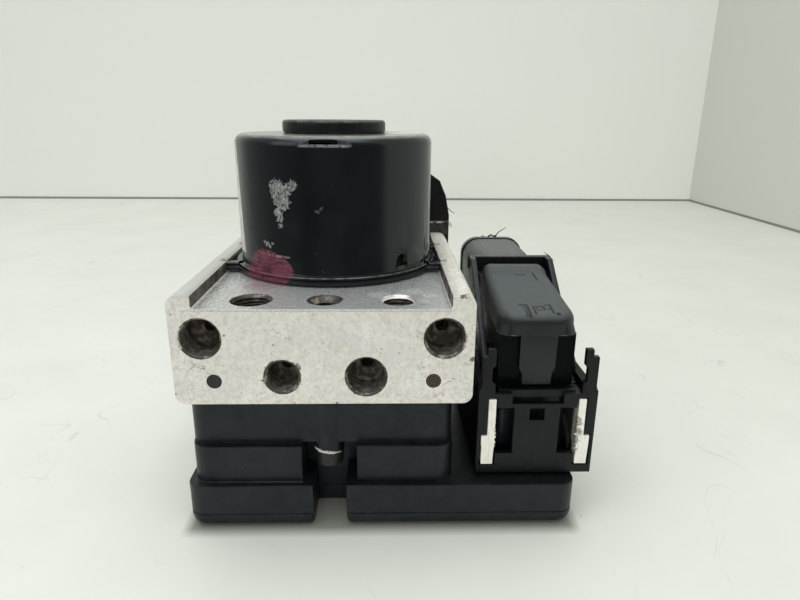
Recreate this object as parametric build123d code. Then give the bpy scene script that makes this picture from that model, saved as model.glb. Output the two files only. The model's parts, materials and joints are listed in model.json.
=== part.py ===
from build123d import *
import math
import os

os.makedirs("parts", exist_ok=True)

# Hydraulic control unit of an anti-lock brake system, in millimetres. A valve block carries the pump
# motor on top and the electronic control unit underneath, and a lever-locked harness plug stands
# beside the block. The pieces are laid out from the block: X across, Y from its front face to its
# rear face, Z up from its underside. save() then moves them to the part's own frame, whose origin
# lies on the motor's axis, in the plane that the unit stands on.

# ---- Valve block -------------------------------------------------------------------------------
block_height = 32.8
block_corner = 3.0
rail_width = 6.7
rail_clearance = 0.4
rear_margin = 0.6
channel_depth = 3.8
channel_foot_radius = 1.0

# ---- Ports: threaded bore radius, mouth radius, thread depth --------------------------------------
large_port = (5.45, 6.2, 11.0)
small_port = (4.45, 5.4, 10.5)
bracket_thread = (3.4, 5.3, 14.0)
port_chamfer_depth = 0.9
seat_depth = 2.6
passage_radius = 2.0
upper_port_edge = 8.5
upper_port_drop = 12.5
lower_port_across = 12.0
lower_port_height = 8.6
roof_port_across = 21.3
roof_port_back = 8.8
gallery_radius = 1.75
gallery_edge = 11.6
gallery_height = 7.3
gallery_overrun = 2.5
return_height = 8.6
gallery_plug_radius = 2.2
gallery_plug_length = 4.0

# ---- Pump ----------------------------------------------------------------------------------------
pump_drop = 14.0
pump_wall = 3.8
sleeve_radius = 5.5
pump_cap_radius = 6.8
pump_cap_length = 7.0
piston_radius = 3.25
piston_length = 15.0
eccentricity = 1.2
eccentric_radius = 6.0
eccentric_ring_radius = 8.0
eccentric_length = 10.0
chamber_radius = 10.0
running_clearance = 0.05

# ---- Accumulators --------------------------------------------------------------------------------
accumulator_across = 20.0
accumulator_radius = 9.0
accumulator_wall = 7.0
accumulator_piston_length = 7.5
accumulator_cap_radius = 10.0
accumulator_cap_thickness = 3.0

# ---- Valves and coils ----------------------------------------------------------------------------
valve_pitch = 18.0
valve_front_row = 25.0
valve_bore_radius = 4.2
valve_bore_depth = 11.0
valve_flange_radius = 5.4
valve_flange_thickness = 1.5
dome_radius = 3.0
dome_wall = 0.5
dome_length = 20.0
plunger_travel = 0.3
coil_radius = 7.9
coil_length = 16.5
yoke_wall = 0.8
inlet_plunger_length = 11.0
outlet_plunger_length = 10.0

# ---- Motor ---------------------------------------------------------------------------------------
can_radius = 33.4
can_wall = 1.8
can_top = 74.3
can_edge_radius = 3.0
can_lip_overhang = 1.9
can_lip_thickness = 1.0
shield_overhang = 2.5
shield_thickness = 2.0
ear_bite = 2.1
ear_width = 3.2
ear_spacing = 27.0
ear_thickness = 1.2
cap_radius = 17.5
cap_top = 78.6
pilot_radius = 15.0
pilot_depth = 6.6
bearing_radius = 9.5
bearing_width = 5.0
shaft_radius = 4.0
magnet_thickness = 4.9
magnet_gap = 0.67
stack_length = 20.0
slot_count = 12
commutator_radius = 9.0
commutator_length = 7.0
contact_inset = 12.1
contact_radius = 3.8

# ---- Control unit --------------------------------------------------------------------------------
unit_height = 42.6
cover_height = 5.0
base_step_height = 14.9
middle_step_height = 12.2
unit_wall = 2.0
coil_bay_clearance = 1.2
upper_left_extra = 3.6
base_step_left = 1.4
middle_step_left = -0.4
middle_step_right = 0.2
header_margin = 1.25
cover_foot_radius = 4.0
notch_round = 1.6
middle_set_back = 2.6
upper_set_back = 5.1
unit_corner = 5.0
notch_width = 10.0
notch_middle_width = 16.6
notch_depth = 15.0
rear_notch_edge = 12.0
boss_radius = 4.7
boss_drop = 3.8
screw_back = 8.6
screw_radius = 2.1
screw_head_radius = 4.4
screw_head_height = 4.0
screw_grip = 9.0
gasket_width = 1.0
board_thickness = 1.6
board_gap = 4.0

# ---- Connector -----------------------------------------------------------------------------------
plug_gap = 2.65
header_half = 11.5
header_front = 13.0
header_rear = 57.0
header_top = -2.2
header_wall = 1.5
peg_radius = 1.8
peg_reach = 14.4
peg_height = -12.0
peg_front = 20.0
peg_pitch = 24.0
pin_radius = 0.35
pin_rows = 4
pin_columns = 10
pin_pitch_x = 4.2
pin_pitch_y = 3.6

plug_front = 5.0
plug_rear = 60.0
plate_thickness = 2.0
plug_half = 18.1
plug_bottom = -26.6
plug_wall_top = 1.5
deck_thickness = 2.4
core_clearance = 0.4
chamber_half = 11.6
chamber_wall = 1.8
cover_foot = 18.0
plug_travel = 7.0

# ---- Cam plates and lever ------------------------------------------------------------------------
cam_inner = 12.6
cam_thickness = 2.3
cam_lower_outer = 16.55
cam_nub_outer = 16.75
cam_top = -1.3
cam_nub_top = -13.6
cam_nub_bottom = -16.9
cam_bottom = -23.5
cam_rear = 54.0
cam_clearance = 0.35
lever_back = 22.0
lever_height = 3.0
lever_hub_radius = 3.9
trunnion_radius = 2.0
finger_radius = 6.8
finger_tip_radius = 1.4
finger_half_width = 0.75
lever_opening = 80.0
lever_inner = 13.0
lever_outer = 15.0
bar_back = 58.5
bar_thickness = 3.0
bar_top = 30.4
bar_height = 5.8

# ---- Wire cover ----------------------------------------------------------------------------------
cover_half = 12.55
hood_left_front = 12.5
hood_left_rear = 11.4
hood_right = 11.4
hood_round = 3.6
cover_wall = 1.8
cover_front = 8.0
cover_rear = 57.0
collar_start = 63.0
collar_end = 100.0
collar_bottom = 9.0
collar_top = 29.2
collar_wall = 2.0
collar_corner = 7.0
wire_radius = 1.15

# ---- Rear bracket --------------------------------------------------------------------------------
bracket_thickness = 3.0
bracket_left = 16.0
bracket_overhang = 1.4
bracket_top = 57.4
bracket_foot = 3.0
bracket_bolt_edge = 6.6
bracket_bolt_height = 15.0
bracket_bolt_radius = 3.0
bracket_hole_radius = 4.2

# ---- Sizes that follow from those above ------------------------------------------------------------
shield_radius = can_radius + shield_overhang
can_lip_radius = can_radius + can_lip_overhang
can_inner = can_radius - can_wall
block_half = shield_radius + rail_clearance + rail_width
ear_reach = block_half - rail_width + ear_bite
valve_rear_row = valve_front_row + valve_pitch
motor_from_front = valve_rear_row + valve_bore_radius + pump_wall + sleeve_radius
block_length = motor_from_front + shield_radius + rear_margin
channel_floor = block_height - channel_depth
pump_height = channel_floor - pump_drop
upper_port_across = block_half - upper_port_edge
upper_port_height = block_height - upper_port_drop
gallery_across = block_half - gallery_edge
rear_notch_across = block_half - rear_notch_edge
bracket_right = block_half + bracket_overhang
bracket_bolt_across = block_half - bracket_bolt_edge
contact_back = motor_from_front + can_inner - contact_inset
plug_across = block_half + plug_gap + plug_half
upper_right = 1.5 * valve_pitch + coil_radius + coil_bay_clearance + unit_wall
upper_left = upper_right + upper_left_extra
middle_left = upper_left + middle_step_left
middle_right = upper_right + middle_step_right
base_left = upper_left + base_step_left
base_right = plug_across + header_half + header_margin
shield_top = channel_floor + shield_thickness
cover_seam = -unit_height + cover_height
base_top = -unit_height + base_step_height
middle_top = base_top + middle_step_height
boss_length = boss_drop - middle_top
bay_ceiling = base_top - unit_wall
board_top = bay_ceiling - board_gap


# ---- Shared shapes -------------------------------------------------------------------------------
def span(x, y, z):
    """Box between two limits along each axis."""
    middle = Pos((x[0] + x[1]) / 2, (y[0] + y[1]) / 2, (z[0] + z[1]) / 2)
    return middle * Box(x[1] - x[0], y[1] - y[0], z[1] - z[0])


def rod(radius, start, end):
    """Cylinder from one point to another."""
    axis = Vector(*end) - Vector(*start)
    plane = Plane(origin=start, z_dir=axis)
    return plane.location * Cylinder(radius, axis.length, align=(Align.CENTER, Align.CENTER, Align.MIN))


def turned(profile, start=(0, 0, 0), direction=(0, 0, 1)):
    """Solid of revolution; the profile lists (radius, height) corners round half its section."""
    outline = Polyline(*[(radius, 0, height) for radius, height in profile], close=True)
    solid = revolve(make_face(outline), Axis.Z)
    return Plane(origin=start, z_dir=direction).location * solid


def ring(inner, outer, low, high, start=(0, 0, 0), direction=(0, 0, 1)):
    """Plain ring about an axis."""
    return turned([(inner, low), (outer, low), (outer, high), (inner, high)], start, direction)


def side_cut(points, low, high):
    """Prism whose outline lies in the YZ plane, from one X to another."""
    outline = make_face(Polyline(*[(0, y, z) for y, z in points], close=True))
    return Pos(low, 0, 0) * extrude(outline, high - low, dir=(1, 0, 0))


def spring(radius, wire, pitch, start, direction, length):
    """Coil spring from a start point along a direction."""
    path = Helix(pitch, length - 2 * wire, radius)
    section = Plane(origin=path @ 0, z_dir=path % 0) * Circle(wire)
    coil = sweep(section, path=path)
    place = Plane(origin=Vector(*start) + Vector(*direction).normalized() * wire, z_dir=direction)
    return place.location * coil


def group(pieces):
    """Several separate solids as one node."""
    solids = []
    for piece in pieces:
        solids.extend(piece.solids())
    return Compound(solids)


def save(name, shape):
    """Write one node in the part's own frame."""
    export_step(Pos(0, -motor_from_front, unit_height) * shape, f"parts/{name}.step")


def mirrored(shape):
    """The same piece on the other side of the block."""
    return mirror(shape, about=Plane.YZ)


def both_sides(shape):
    """A piece and its mirror image."""
    return [shape, mirrored(shape)]


# ---- Valve block -------------------------------------------------------------------------------
def port_cutter(port, mouth, inward, passage_length):
    """Threaded bore with a chamfered mouth, a conical pipe seat and a passage at its bottom."""
    bore, mouth_radius, depth = port
    seat_end = depth + seat_depth
    profile = [
        (0, -1),
        (mouth_radius, -1),
        (mouth_radius, 0),
        (bore, port_chamfer_depth),
        (bore, depth),
        (passage_radius, seat_end),
        (passage_radius, seat_end + passage_length),
        (0, seat_end + passage_length),
    ]
    return turned(profile, mouth, inward)


valve_columns = [(index - 1.5) * valve_pitch for index in range(4)]
pump_cap_inner = block_half - pump_cap_length
accumulator_front = motor_from_front + sleeve_radius + accumulator_wall
gallery_plug_seats = []


def gallery(start, end):
    """Drilled passage from an outer face, with the wider seat for the plug that closes it."""
    direction = (Vector(*end) - Vector(*start)).normalized()
    seat_end = Vector(*start) + direction * gallery_plug_length
    seat_end = (seat_end.X, seat_end.Y, seat_end.Z)
    gallery_plug_seats.append((start, seat_end))
    return rod(gallery_radius, start, end) + rod(gallery_plug_radius, start, seat_end)


def make_block():
    """Extruded aluminium block, milled on top and drilled from every side."""
    half = block_half
    body = span((-half, half), (0, block_length), (0, block_height))
    body = fillet(body.edges().filter_by(Axis.Y), block_corner)
    inner = half - rail_width
    channel = span((-inner, inner), (-1, block_length + 1), (channel_floor, block_height + 1))
    foot_edges = channel.edges().filter_by(Axis.Y).sort_by(Axis.Z)[:2]
    body -= fillet(foot_edges, channel_foot_radius)

    front, back, down = (0, 1, 0), (0, -1, 0), (0, 0, -1)
    upper_run = motor_from_front - large_port[2] - seat_depth
    lower_run = valve_rear_row - gallery_overrun - large_port[2] - seat_depth
    cutters = [
        port_cutter(large_port, (-upper_port_across, 0, upper_port_height), front, upper_run),
        port_cutter(large_port, (upper_port_across, 0, upper_port_height), front, upper_run),
        port_cutter(small_port, (-lower_port_across, 0, lower_port_height), front, lower_run),
        port_cutter(large_port, (lower_port_across, 0, lower_port_height), front, lower_run),
    ]
    for port, across in ((large_port, -roof_port_across), (small_port, roof_port_across)):
        run = channel_floor - gallery_height - port[2] - seat_depth
        cutters.append(port_cutter(port, (across, roof_port_back, channel_floor), down, run))
    bore, mouth_radius, depth = bracket_thread
    thread_profile = [
        (0, -1),
        (mouth_radius, -1),
        (mouth_radius, 0),
        (bore, mouth_radius - bore),
        (bore, depth),
        (0, depth + bore / 2),
    ]
    cutters.append(turned(thread_profile, (0, roof_port_back, channel_floor), down))

    for side in (-1, 1):
        face = side * half
        cutters += [
            gallery((side * gallery_across, 0, gallery_height),
                    (side * gallery_across, valve_rear_row + gallery_overrun, gallery_height)),
            gallery((face, roof_port_back, gallery_height),
                    (side * (roof_port_across - gallery_overrun), roof_port_back, gallery_height)),
            gallery((face, valve_front_row, upper_port_height),
                    (side * (valve_pitch / 2 - gallery_overrun), valve_front_row, upper_port_height)),
            gallery((face, valve_rear_row, return_height),
                    (side * valve_pitch / 2, valve_rear_row, return_height)),
            rod(gallery_radius, (side * accumulator_across, accumulator_front + 1, return_height),
                (side * accumulator_across, valve_rear_row - gallery_overrun, return_height)),
            rod(pump_cap_radius, (face + side, motor_from_front, pump_height),
                (side * pump_cap_inner, motor_from_front, pump_height)),
            rod(sleeve_radius, (face, motor_from_front, pump_height), (0, motor_from_front, pump_height)),
            rod(accumulator_radius, (side * accumulator_across, block_length, pump_height),
                (side * accumulator_across, accumulator_front, pump_height)),
            rod(accumulator_cap_radius, (side * accumulator_across, block_length + 1, pump_height),
                (side * accumulator_across, block_length - accumulator_cap_thickness, pump_height)),
        ]
    for across in valve_columns:
        for row in (valve_front_row, valve_rear_row):
            cutters += [
                rod(valve_bore_radius, (across, row, -1), (across, row, valve_bore_depth)),
                rod(valve_flange_radius, (across, row, -1), (across, row, valve_flange_thickness)),
            ]
        cutters.append(rod(1.5, (across, valve_front_row, 0), (across, valve_front_row, upper_port_height)))

    motor_axis = (0, motor_from_front)
    chamber_bottom = pump_height - eccentric_length / 2 - 4
    cutters += [
        rod(pilot_radius, (*motor_axis, channel_floor + 1), (*motor_axis, channel_floor - pilot_depth)),
        rod(chamber_radius, (*motor_axis, channel_floor), (*motor_axis, chamber_bottom)),
        rod(contact_radius + 0.2, (0, contact_back, -1), (0, contact_back, channel_floor + 1)),
        rod(bracket_bolt_radius, (bracket_bolt_across, block_length + 1, bracket_bolt_height),
            (bracket_bolt_across, block_length - 14, bracket_bolt_height)),
    ]
    for across, back_distance in screw_places:
        cutters.append(rod(screw_radius, (across, back_distance, -1), (across, back_distance, screw_grip + 1)))
    for side in (-1, 1):
        for offset in (-ear_spacing / 2, ear_spacing / 2):
            middle = motor_from_front + offset
            cutters.append(span(
                tuple(sorted((side * (inner - 1), side * (ear_reach + 0.3)))),
                (middle - ear_width / 2 - 0.4, middle + ear_width / 2 + 0.4),
                (shield_top, block_height + 1),
            ))
    for cutter in cutters:
        body -= cutter
    return body


rear_screw_back = block_length - screw_back
screw_places = [(0, screw_back), (-rear_notch_across, rear_screw_back), (rear_notch_across, rear_screw_back)]
save("valve_block", make_block())
save("gallery_plugs", group([
    rod(gallery_plug_radius, start, end) for start, end in gallery_plug_seats
]))


# ---- Pump: two opposed pistons driven by one eccentric ---------------------------------------------
piston_tip = eccentric_ring_radius + eccentricity + running_clearance
sleeve_inner_end = chamber_radius + 2.5
sleeve_outer_end = pump_cap_inner
sleeve_end_wall = 2.5
sleeve_floor = sleeve_outer_end - sleeve_end_wall
outward = (1, 0, 0)
pump_axis = (0, motor_from_front, pump_height)

pump_sleeve = turned([
    (piston_radius + running_clearance, sleeve_inner_end),
    (sleeve_radius - 0.02, sleeve_inner_end),
    (sleeve_radius - 0.02, sleeve_outer_end),
    (1.2, sleeve_outer_end),
    (1.2, sleeve_floor),
    (piston_radius + running_clearance, sleeve_floor),
], pump_axis, outward)
pump_piston = turned([
    (0, piston_tip),
    (piston_radius - 0.5, piston_tip),
    (piston_radius, piston_tip + 0.5),
    (piston_radius, piston_tip + piston_length),
    (0.9, piston_tip + piston_length),
    (0.9, piston_tip + piston_length - 4),
    (0, piston_tip + piston_length - 4),
], pump_axis, outward)
ball_radius = 1.8
pump_ball = Pos(sleeve_outer_end + ball_radius - 0.4, motor_from_front, pump_height) * Sphere(ball_radius)
pump_cap = turned([
    (0, sleeve_outer_end + 2 * ball_radius + 0.2),
    (ball_radius + 0.4, sleeve_outer_end + 2 * ball_radius - 0.4),
    (ball_radius + 0.4, sleeve_outer_end + 0.1),
    (pump_cap_radius - 0.02, sleeve_outer_end + 0.1),
    (pump_cap_radius - 0.02, block_half - 0.9),
    (pump_cap_radius - 0.8, block_half - 0.1),
    (2.4, block_half - 0.1),
    (2.0, block_half - 1.2),
    (0, block_half - 1.2),
], pump_axis, outward)
spring_start = piston_tip + piston_length
pump_spring = spring(2.5, 0.35, 1.7, (spring_start, motor_from_front, pump_height), outward,
                     sleeve_floor - spring_start)
for name, shape in (("pump_sleeve", pump_sleeve), ("pump_piston", pump_piston)):
    save(f"{name}_left", mirrored(shape))
    save(f"{name}_right", shape)
save("pump_balls", group(both_sides(pump_ball)))
save("pump_end_caps", group(both_sides(pump_cap)))
save("pump_springs", group(both_sides(pump_spring)))


# ---- Low-pressure accumulators ---------------------------------------------------------------------
accumulator_axis = (accumulator_across, 0, pump_height)
along = (0, 1, 0)
piston_front = accumulator_front + 0.6
piston_rear = piston_front + accumulator_piston_length
cap_front = block_length - accumulator_cap_thickness
accumulator_piston = turned([
    (0, piston_front),
    (accumulator_radius - 1.0, piston_front),
    (accumulator_radius - running_clearance, piston_front + 1.0),
    (accumulator_radius - running_clearance, piston_rear),
    (accumulator_radius - 2.0, piston_rear),
    (accumulator_radius - 2.0, piston_front + 2.4),
    (0, piston_front + 2.4),
], accumulator_axis, along)
accumulator_cap = turned([
    (0, cap_front),
    (accumulator_cap_radius - 0.02, cap_front),
    (accumulator_cap_radius - 0.02, block_length - 0.7),
    (accumulator_cap_radius - 0.6, block_length - 0.1),
    (5.0, block_length - 0.1),
    (4.2, block_length - 0.9),
    (0, block_length - 0.9),
], accumulator_axis, along)
accumulator_spring = spring(5.4, 0.6, 2.6, (accumulator_across, piston_front + 2.4, pump_height), along,
                            cap_front - piston_front - 2.4)
save("accumulator_piston_left", mirrored(accumulator_piston))
save("accumulator_piston_right", accumulator_piston)
save("accumulator_caps", group(both_sides(accumulator_cap)))
save("accumulator_springs", group(both_sides(accumulator_spring)))


# ---- Solenoid valves -------------------------------------------------------------------------------
plunger_radius = dome_radius - dome_wall - running_clearance
rod_radius = 0.8
seat_height = 6.0
dome_inner_end = -dome_length + 0.8
shoulder = -2.0


def valve_body(pole_piece_end):
    """Machined valve seat body with its thin guide tube; the tube's end may hold a pole piece."""
    guide = dome_radius - dome_wall
    return turned([
        (0, -dome_length),
        (dome_radius - 1.2, -dome_length),
        (dome_radius, -dome_length + 1.2),
        (dome_radius, 0),
        (valve_flange_radius - 0.02, 0),
        (valve_flange_radius - 0.02, valve_flange_thickness - 0.05),
        (valve_bore_radius - 0.02, valve_flange_thickness - 0.05),
        (valve_bore_radius - 0.02, valve_bore_depth - 1.5),
        (2.4, valve_bore_depth - 0.6),
        (0.5, valve_bore_depth - 0.6),
        (0.5, seat_height + 0.6),
        (rod_radius + 0.1, seat_height),
        (rod_radius + 0.1, shoulder),
        (guide, shoulder),
        (guide, pole_piece_end),
        (0, pole_piece_end),
    ])


def valve_plunger(low, high, lift, pocket):
    """Magnet armature with its closing rod; lift is the gap between rod tip and seat."""
    tip = seat_height - lift
    return turned([
        (0, low + pocket),
        (pocket_radius, low + pocket),
        (pocket_radius, low),
        (plunger_radius, low),
        (plunger_radius, high),
        (rod_radius, high),
        (rod_radius, tip - 0.5),
        (0.3, tip),
        (0, tip),
    ])


inlet_low = dome_inner_end + 0.4
inlet_high = inlet_low + inlet_plunger_length
pocket_depth = 4.0
pocket_radius = 1.7
outlet_high = shoulder - plunger_travel - 0.1
outlet_low = outlet_high - outlet_plunger_length
pole_face = outlet_low - plunger_travel - 0.1
inlet_body = valve_body(dome_inner_end)
outlet_body = valve_body(pole_face)
inlet_plunger = valve_plunger(inlet_low, inlet_high, plunger_travel + 0.05, pocket_depth)
outlet_plunger = valve_plunger(outlet_low, outlet_high, 0.05, pocket_depth)
inlet_spring = spring(1.6, 0.25, 1.2, (0, 0, inlet_high), (0, 0, 1), shoulder - inlet_high)
outlet_spring = spring(1.4, 0.25, 1.0, (0, 0, pole_face), (0, 0, 1), outlet_low + pocket_depth - pole_face)

save("inlet_valve_bodies", group([Pos(x, valve_front_row, 0) * inlet_body for x in valve_columns]))
save("outlet_valve_bodies", group([Pos(x, valve_rear_row, 0) * outlet_body for x in valve_columns]))
for index, across in enumerate(valve_columns, start=1):
    save(f"inlet_plunger_{index}", Pos(across, valve_front_row, 0) * inlet_plunger)
    save(f"outlet_plunger_{index}", Pos(across, valve_rear_row, 0) * outlet_plunger)
valve_springs = [Pos(x, valve_front_row, 0) * inlet_spring for x in valve_columns]
valve_springs += [Pos(x, valve_rear_row, 0) * outlet_spring for x in valve_columns]
save("valve_springs", group(valve_springs))

coil_top = -1.6
coil_bottom = coil_top - coil_length
coil_pin_across = 5.0
coil_pin_radius = 0.45
coil_pin_clearance = 0.35
coil_wire = turned([
    (dome_radius + 0.3, coil_bottom),
    (coil_radius - yoke_wall - 0.1, coil_bottom),
    (coil_radius - yoke_wall - 0.1, coil_bottom + 1.2),
    (coil_radius - yoke_wall - 0.7, coil_bottom + 1.2),
    (coil_radius - yoke_wall - 0.7, coil_top - yoke_wall - 1.2),
    (coil_radius - yoke_wall - 0.1, coil_top - yoke_wall - 1.2),
    (coil_radius - yoke_wall - 0.1, coil_top - yoke_wall),
    (dome_radius + 0.3, coil_top - yoke_wall),
])
for side in (-1, 1):
    coil_wire += rod(coil_pin_radius, (side * coil_pin_across, 0, coil_bottom + 0.5),
                     (side * coil_pin_across, 0, board_top))
yoke = turned([
    (dome_radius + 0.2, coil_top),
    (coil_radius, coil_top),
    (coil_radius, coil_bottom),
    (coil_radius - yoke_wall, coil_bottom),
    (coil_radius - yoke_wall, coil_top - yoke_wall),
    (dome_radius + 0.2, coil_top - yoke_wall),
])
valve_places = [(x, y) for y in (valve_front_row, valve_rear_row) for x in valve_columns]
save("valve_coils", group([Pos(x, y, 0) * coil_wire for x, y in valve_places]))
save("coil_yokes", group([Pos(x, y, 0) * yoke for x, y in valve_places]))


# ---- Motor -----------------------------------------------------------------------------------------
motor = Pos(0, motor_from_front, 0)
inner_wall = block_half - rail_width


def make_shield():
    """Pressed end shield: flange on the channel floor, pilot with the lower bearing seat, four ears."""
    shield = turned([
        (bearing_radius, shield_top),
        (shield_radius, shield_top),
        (shield_radius, channel_floor + channel_foot_radius),
        (shield_radius - channel_foot_radius, channel_floor),
        (pilot_radius - running_clearance, channel_floor),
        (pilot_radius - running_clearance, channel_floor - pilot_depth + 0.3),
        (shaft_radius + 1.5, channel_floor - pilot_depth + 0.3),
        (shaft_radius + 1.5, channel_floor - pilot_depth + 1.5),
        (bearing_radius, channel_floor - pilot_depth + 1.5),
    ])
    for side in (-1, 1):
        for offset in (-ear_spacing / 2, ear_spacing / 2):
            reach = math.sqrt(shield_radius ** 2 - offset ** 2) - 2.0
            ear = span(
                tuple(sorted((side * reach, side * (inner_wall - 0.3)))),
                (offset - ear_width, offset + ear_width),
                (channel_floor + channel_foot_radius, shield_top),
            )
            tip = span(
                tuple(sorted((side * (reach + 1.0), side * ear_reach))),
                (offset - ear_width / 2, offset + ear_width / 2),
                (shield_top, shield_top + ear_thickness),
            )
            shield += ear
            shield += tip
    hole = contact_radius + 0.2
    contact_offset = contact_back - motor_from_front
    shield -= rod(hole, (0, contact_offset, channel_floor - 1), (0, contact_offset, shield_top + 1))
    return shield


def make_can():
    """Drawn steel can with a rolled lip, a drawn bearing cup on top and a pressed locating notch."""
    cup_inner = bearing_radius
    cup_outer = bearing_radius + 1.6
    cup_top = cap_top - 1.2
    can = turned([
        (can_lip_radius, shield_top),
        (can_lip_radius, shield_top + can_lip_thickness),
        (can_radius, shield_top + can_lip_thickness),
        (can_radius, can_top),
        (cup_outer, can_top),
        (cup_outer, cup_top),
        (0, cup_top),
        (0, cup_top - 1.4),
        (cup_inner, cup_top - 1.4),
        (cup_inner, can_top - can_wall),
        (can_inner, can_top - can_wall),
        (can_inner, shield_top),
    ])
    rim = can.edges().filter_by(GeomType.CIRCLE).filter_by(
        lambda edge: abs(edge.radius - can_radius) < 0.01 and abs(edge.center().Z - can_top) < 0.01)
    can = fillet(rim, can_edge_radius)
    notch = span((-5.0, 2.0), (-can_radius - 1, -can_radius + 1.3), (can_top - 2.4, can_top + 1))
    vent_across = 24.5
    vent = rod(1.6, (vent_across, -can_radius, shield_top + 4.0), (vent_across, 0, shield_top + 4.0))
    for offset in (-ear_spacing / 2, ear_spacing / 2):
        for side in (-1, 1):
            edge = math.sqrt(can_radius ** 2 - offset ** 2)
            can -= span(
                tuple(sorted((side * (edge + 0.2), side * (can_lip_radius + 1)))),
                (offset - ear_width / 2 - 0.3, offset + ear_width / 2 + 0.3),
                (shield_top - 1, shield_top + can_lip_thickness + 0.5),
            )
    return can - notch - vent


def make_end_cap():
    """Moulded cap pressed over the bearing cup."""
    cup = bearing_radius + 1.6
    cup_top = cap_top - 1.2
    return turned([
        (cup + 0.02, can_top + 0.02),
        (cap_radius - 0.4, can_top + 0.02),
        (cap_radius - 0.4, cap_top - 2.6),
        (cap_radius, cap_top - 2.2),
        (cap_radius, cap_top - 0.8),
        (cap_radius - 0.8, cap_top),
        (0, cap_top),
        (0, cup_top + 0.02),
        (cup + 0.02, cup_top + 0.02),
    ])


save("motor_end_shield", motor * make_shield())
save("motor_can", motor * make_can())
save("motor_end_cap", motor * make_end_cap())

magnet_low = shield_top + 8.0
magnet_high = can_top - can_wall - 4.0
magnet_outer = can_inner - 0.03
magnet_inner = magnet_outer - magnet_thickness
armature_radius = magnet_inner - magnet_gap
magnet_ring = ring(magnet_inner, magnet_outer, magnet_low, magnet_high)
for quarter in range(4):
    gap = Rot(0, 0, 45 + 90 * quarter) * span((0, can_radius), (-4.0, 4.0), (magnet_low - 1, magnet_high + 1))
    magnet_ring -= gap
magnets = list(magnet_ring.solids())
save("motor_magnets", motor * group(magnets))

commutator_low = shield_top + 2.6
commutator_high = commutator_low + commutator_length
lower_turns = commutator_high + 0.8
stack_low = lower_turns + 5.0
stack_high = stack_low + stack_length
upper_turns = stack_high + 4.0
slot_half = 1.6
slot_inner = shaft_radius + 7.0
stack = ring(shaft_radius, armature_radius, stack_low, stack_high)
winding = ring(slot_inner, armature_radius - 2.5, lower_turns, stack_low)
winding += ring(slot_inner, armature_radius - 2.5, stack_high, upper_turns)
for index in range(slot_count):
    turn = Rot(0, 0, index * 360 / slot_count)
    slot = turn * span((slot_inner, armature_radius - 1.2), (-slot_half, slot_half),
                       (stack_low - 1, stack_high + 1))
    mouth = turn * span((armature_radius - 2, armature_radius + 1), (-0.8, 0.8),
                        (stack_low - 1, stack_high + 1))
    stack -= slot
    stack -= mouth
    bar = turn * span((slot_inner + 0.1, armature_radius - 2.6), (-slot_half + 0.1, slot_half - 0.1),
                      (stack_low - 0.5, stack_high + 0.5))
    winding += bar
commutator = ring(shaft_radius, commutator_radius, commutator_low, commutator_high)
for index in range(slot_count):
    turn = Rot(0, 0, (index + 0.5) * 360 / slot_count)
    commutator -= turn * span((commutator_radius - 0.8, commutator_radius + 1), (-0.25, 0.25),
                              (commutator_low - 1, commutator_high + 1))
shaft_bottom = pump_height - eccentric_length / 2 - 1.5
shaft_top = cap_top - 1.2 - 1.4 - 0.3
save("motor_shaft", motor * rod(shaft_radius, (0, 0, shaft_bottom), (0, 0, shaft_top)))
save("armature_stack", motor * stack)
save("armature_windings", motor * winding)
save("commutator", motor * commutator)

eccentric_low = pump_height - eccentric_length / 2
eccentric_high = pump_height + eccentric_length / 2
eccentric = rod(eccentric_radius, (0, eccentricity, eccentric_low), (0, eccentricity, eccentric_high))
eccentric -= rod(shaft_radius, (0, 0, eccentric_low - 1), (0, 0, eccentric_high + 1))
eccentric_ring = Pos(0, eccentricity, 0) * ring(eccentric_radius + running_clearance, eccentric_ring_radius,
                                                eccentric_low, eccentric_high)
save("eccentric", motor * eccentric)
save("eccentric_ring", motor * eccentric_ring)

ball_count = 8
bearing_lows = (channel_floor - pilot_depth + 1.5, cap_top - 1.2 - 1.4 - bearing_width)
race_middle = (shaft_radius + bearing_radius) / 2
race_ball = 1.55
outer_races = []
inner_races = []
race_balls = []
for low in bearing_lows:
    high = low + bearing_width
    middle = (low + high) / 2
    groove = Pos(0, 0, middle) * Torus(race_middle, race_ball + 0.05)
    outer_races.append(ring(race_middle + 0.7, bearing_radius - 0.01, low, high) - groove)
    inner_races.append(ring(shaft_radius, race_middle - 0.7, low, high) - groove)
    for index in range(ball_count):
        angle = math.radians(index * 360 / ball_count)
        place = Pos(race_middle * math.cos(angle), race_middle * math.sin(angle), middle)
        race_balls.append(place * Sphere(race_ball))
save("bearing_outer_rings", motor * group(outer_races))
save("bearing_inner_rings", motor * group(inner_races))
save("bearing_balls", motor * group(race_balls))

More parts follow.
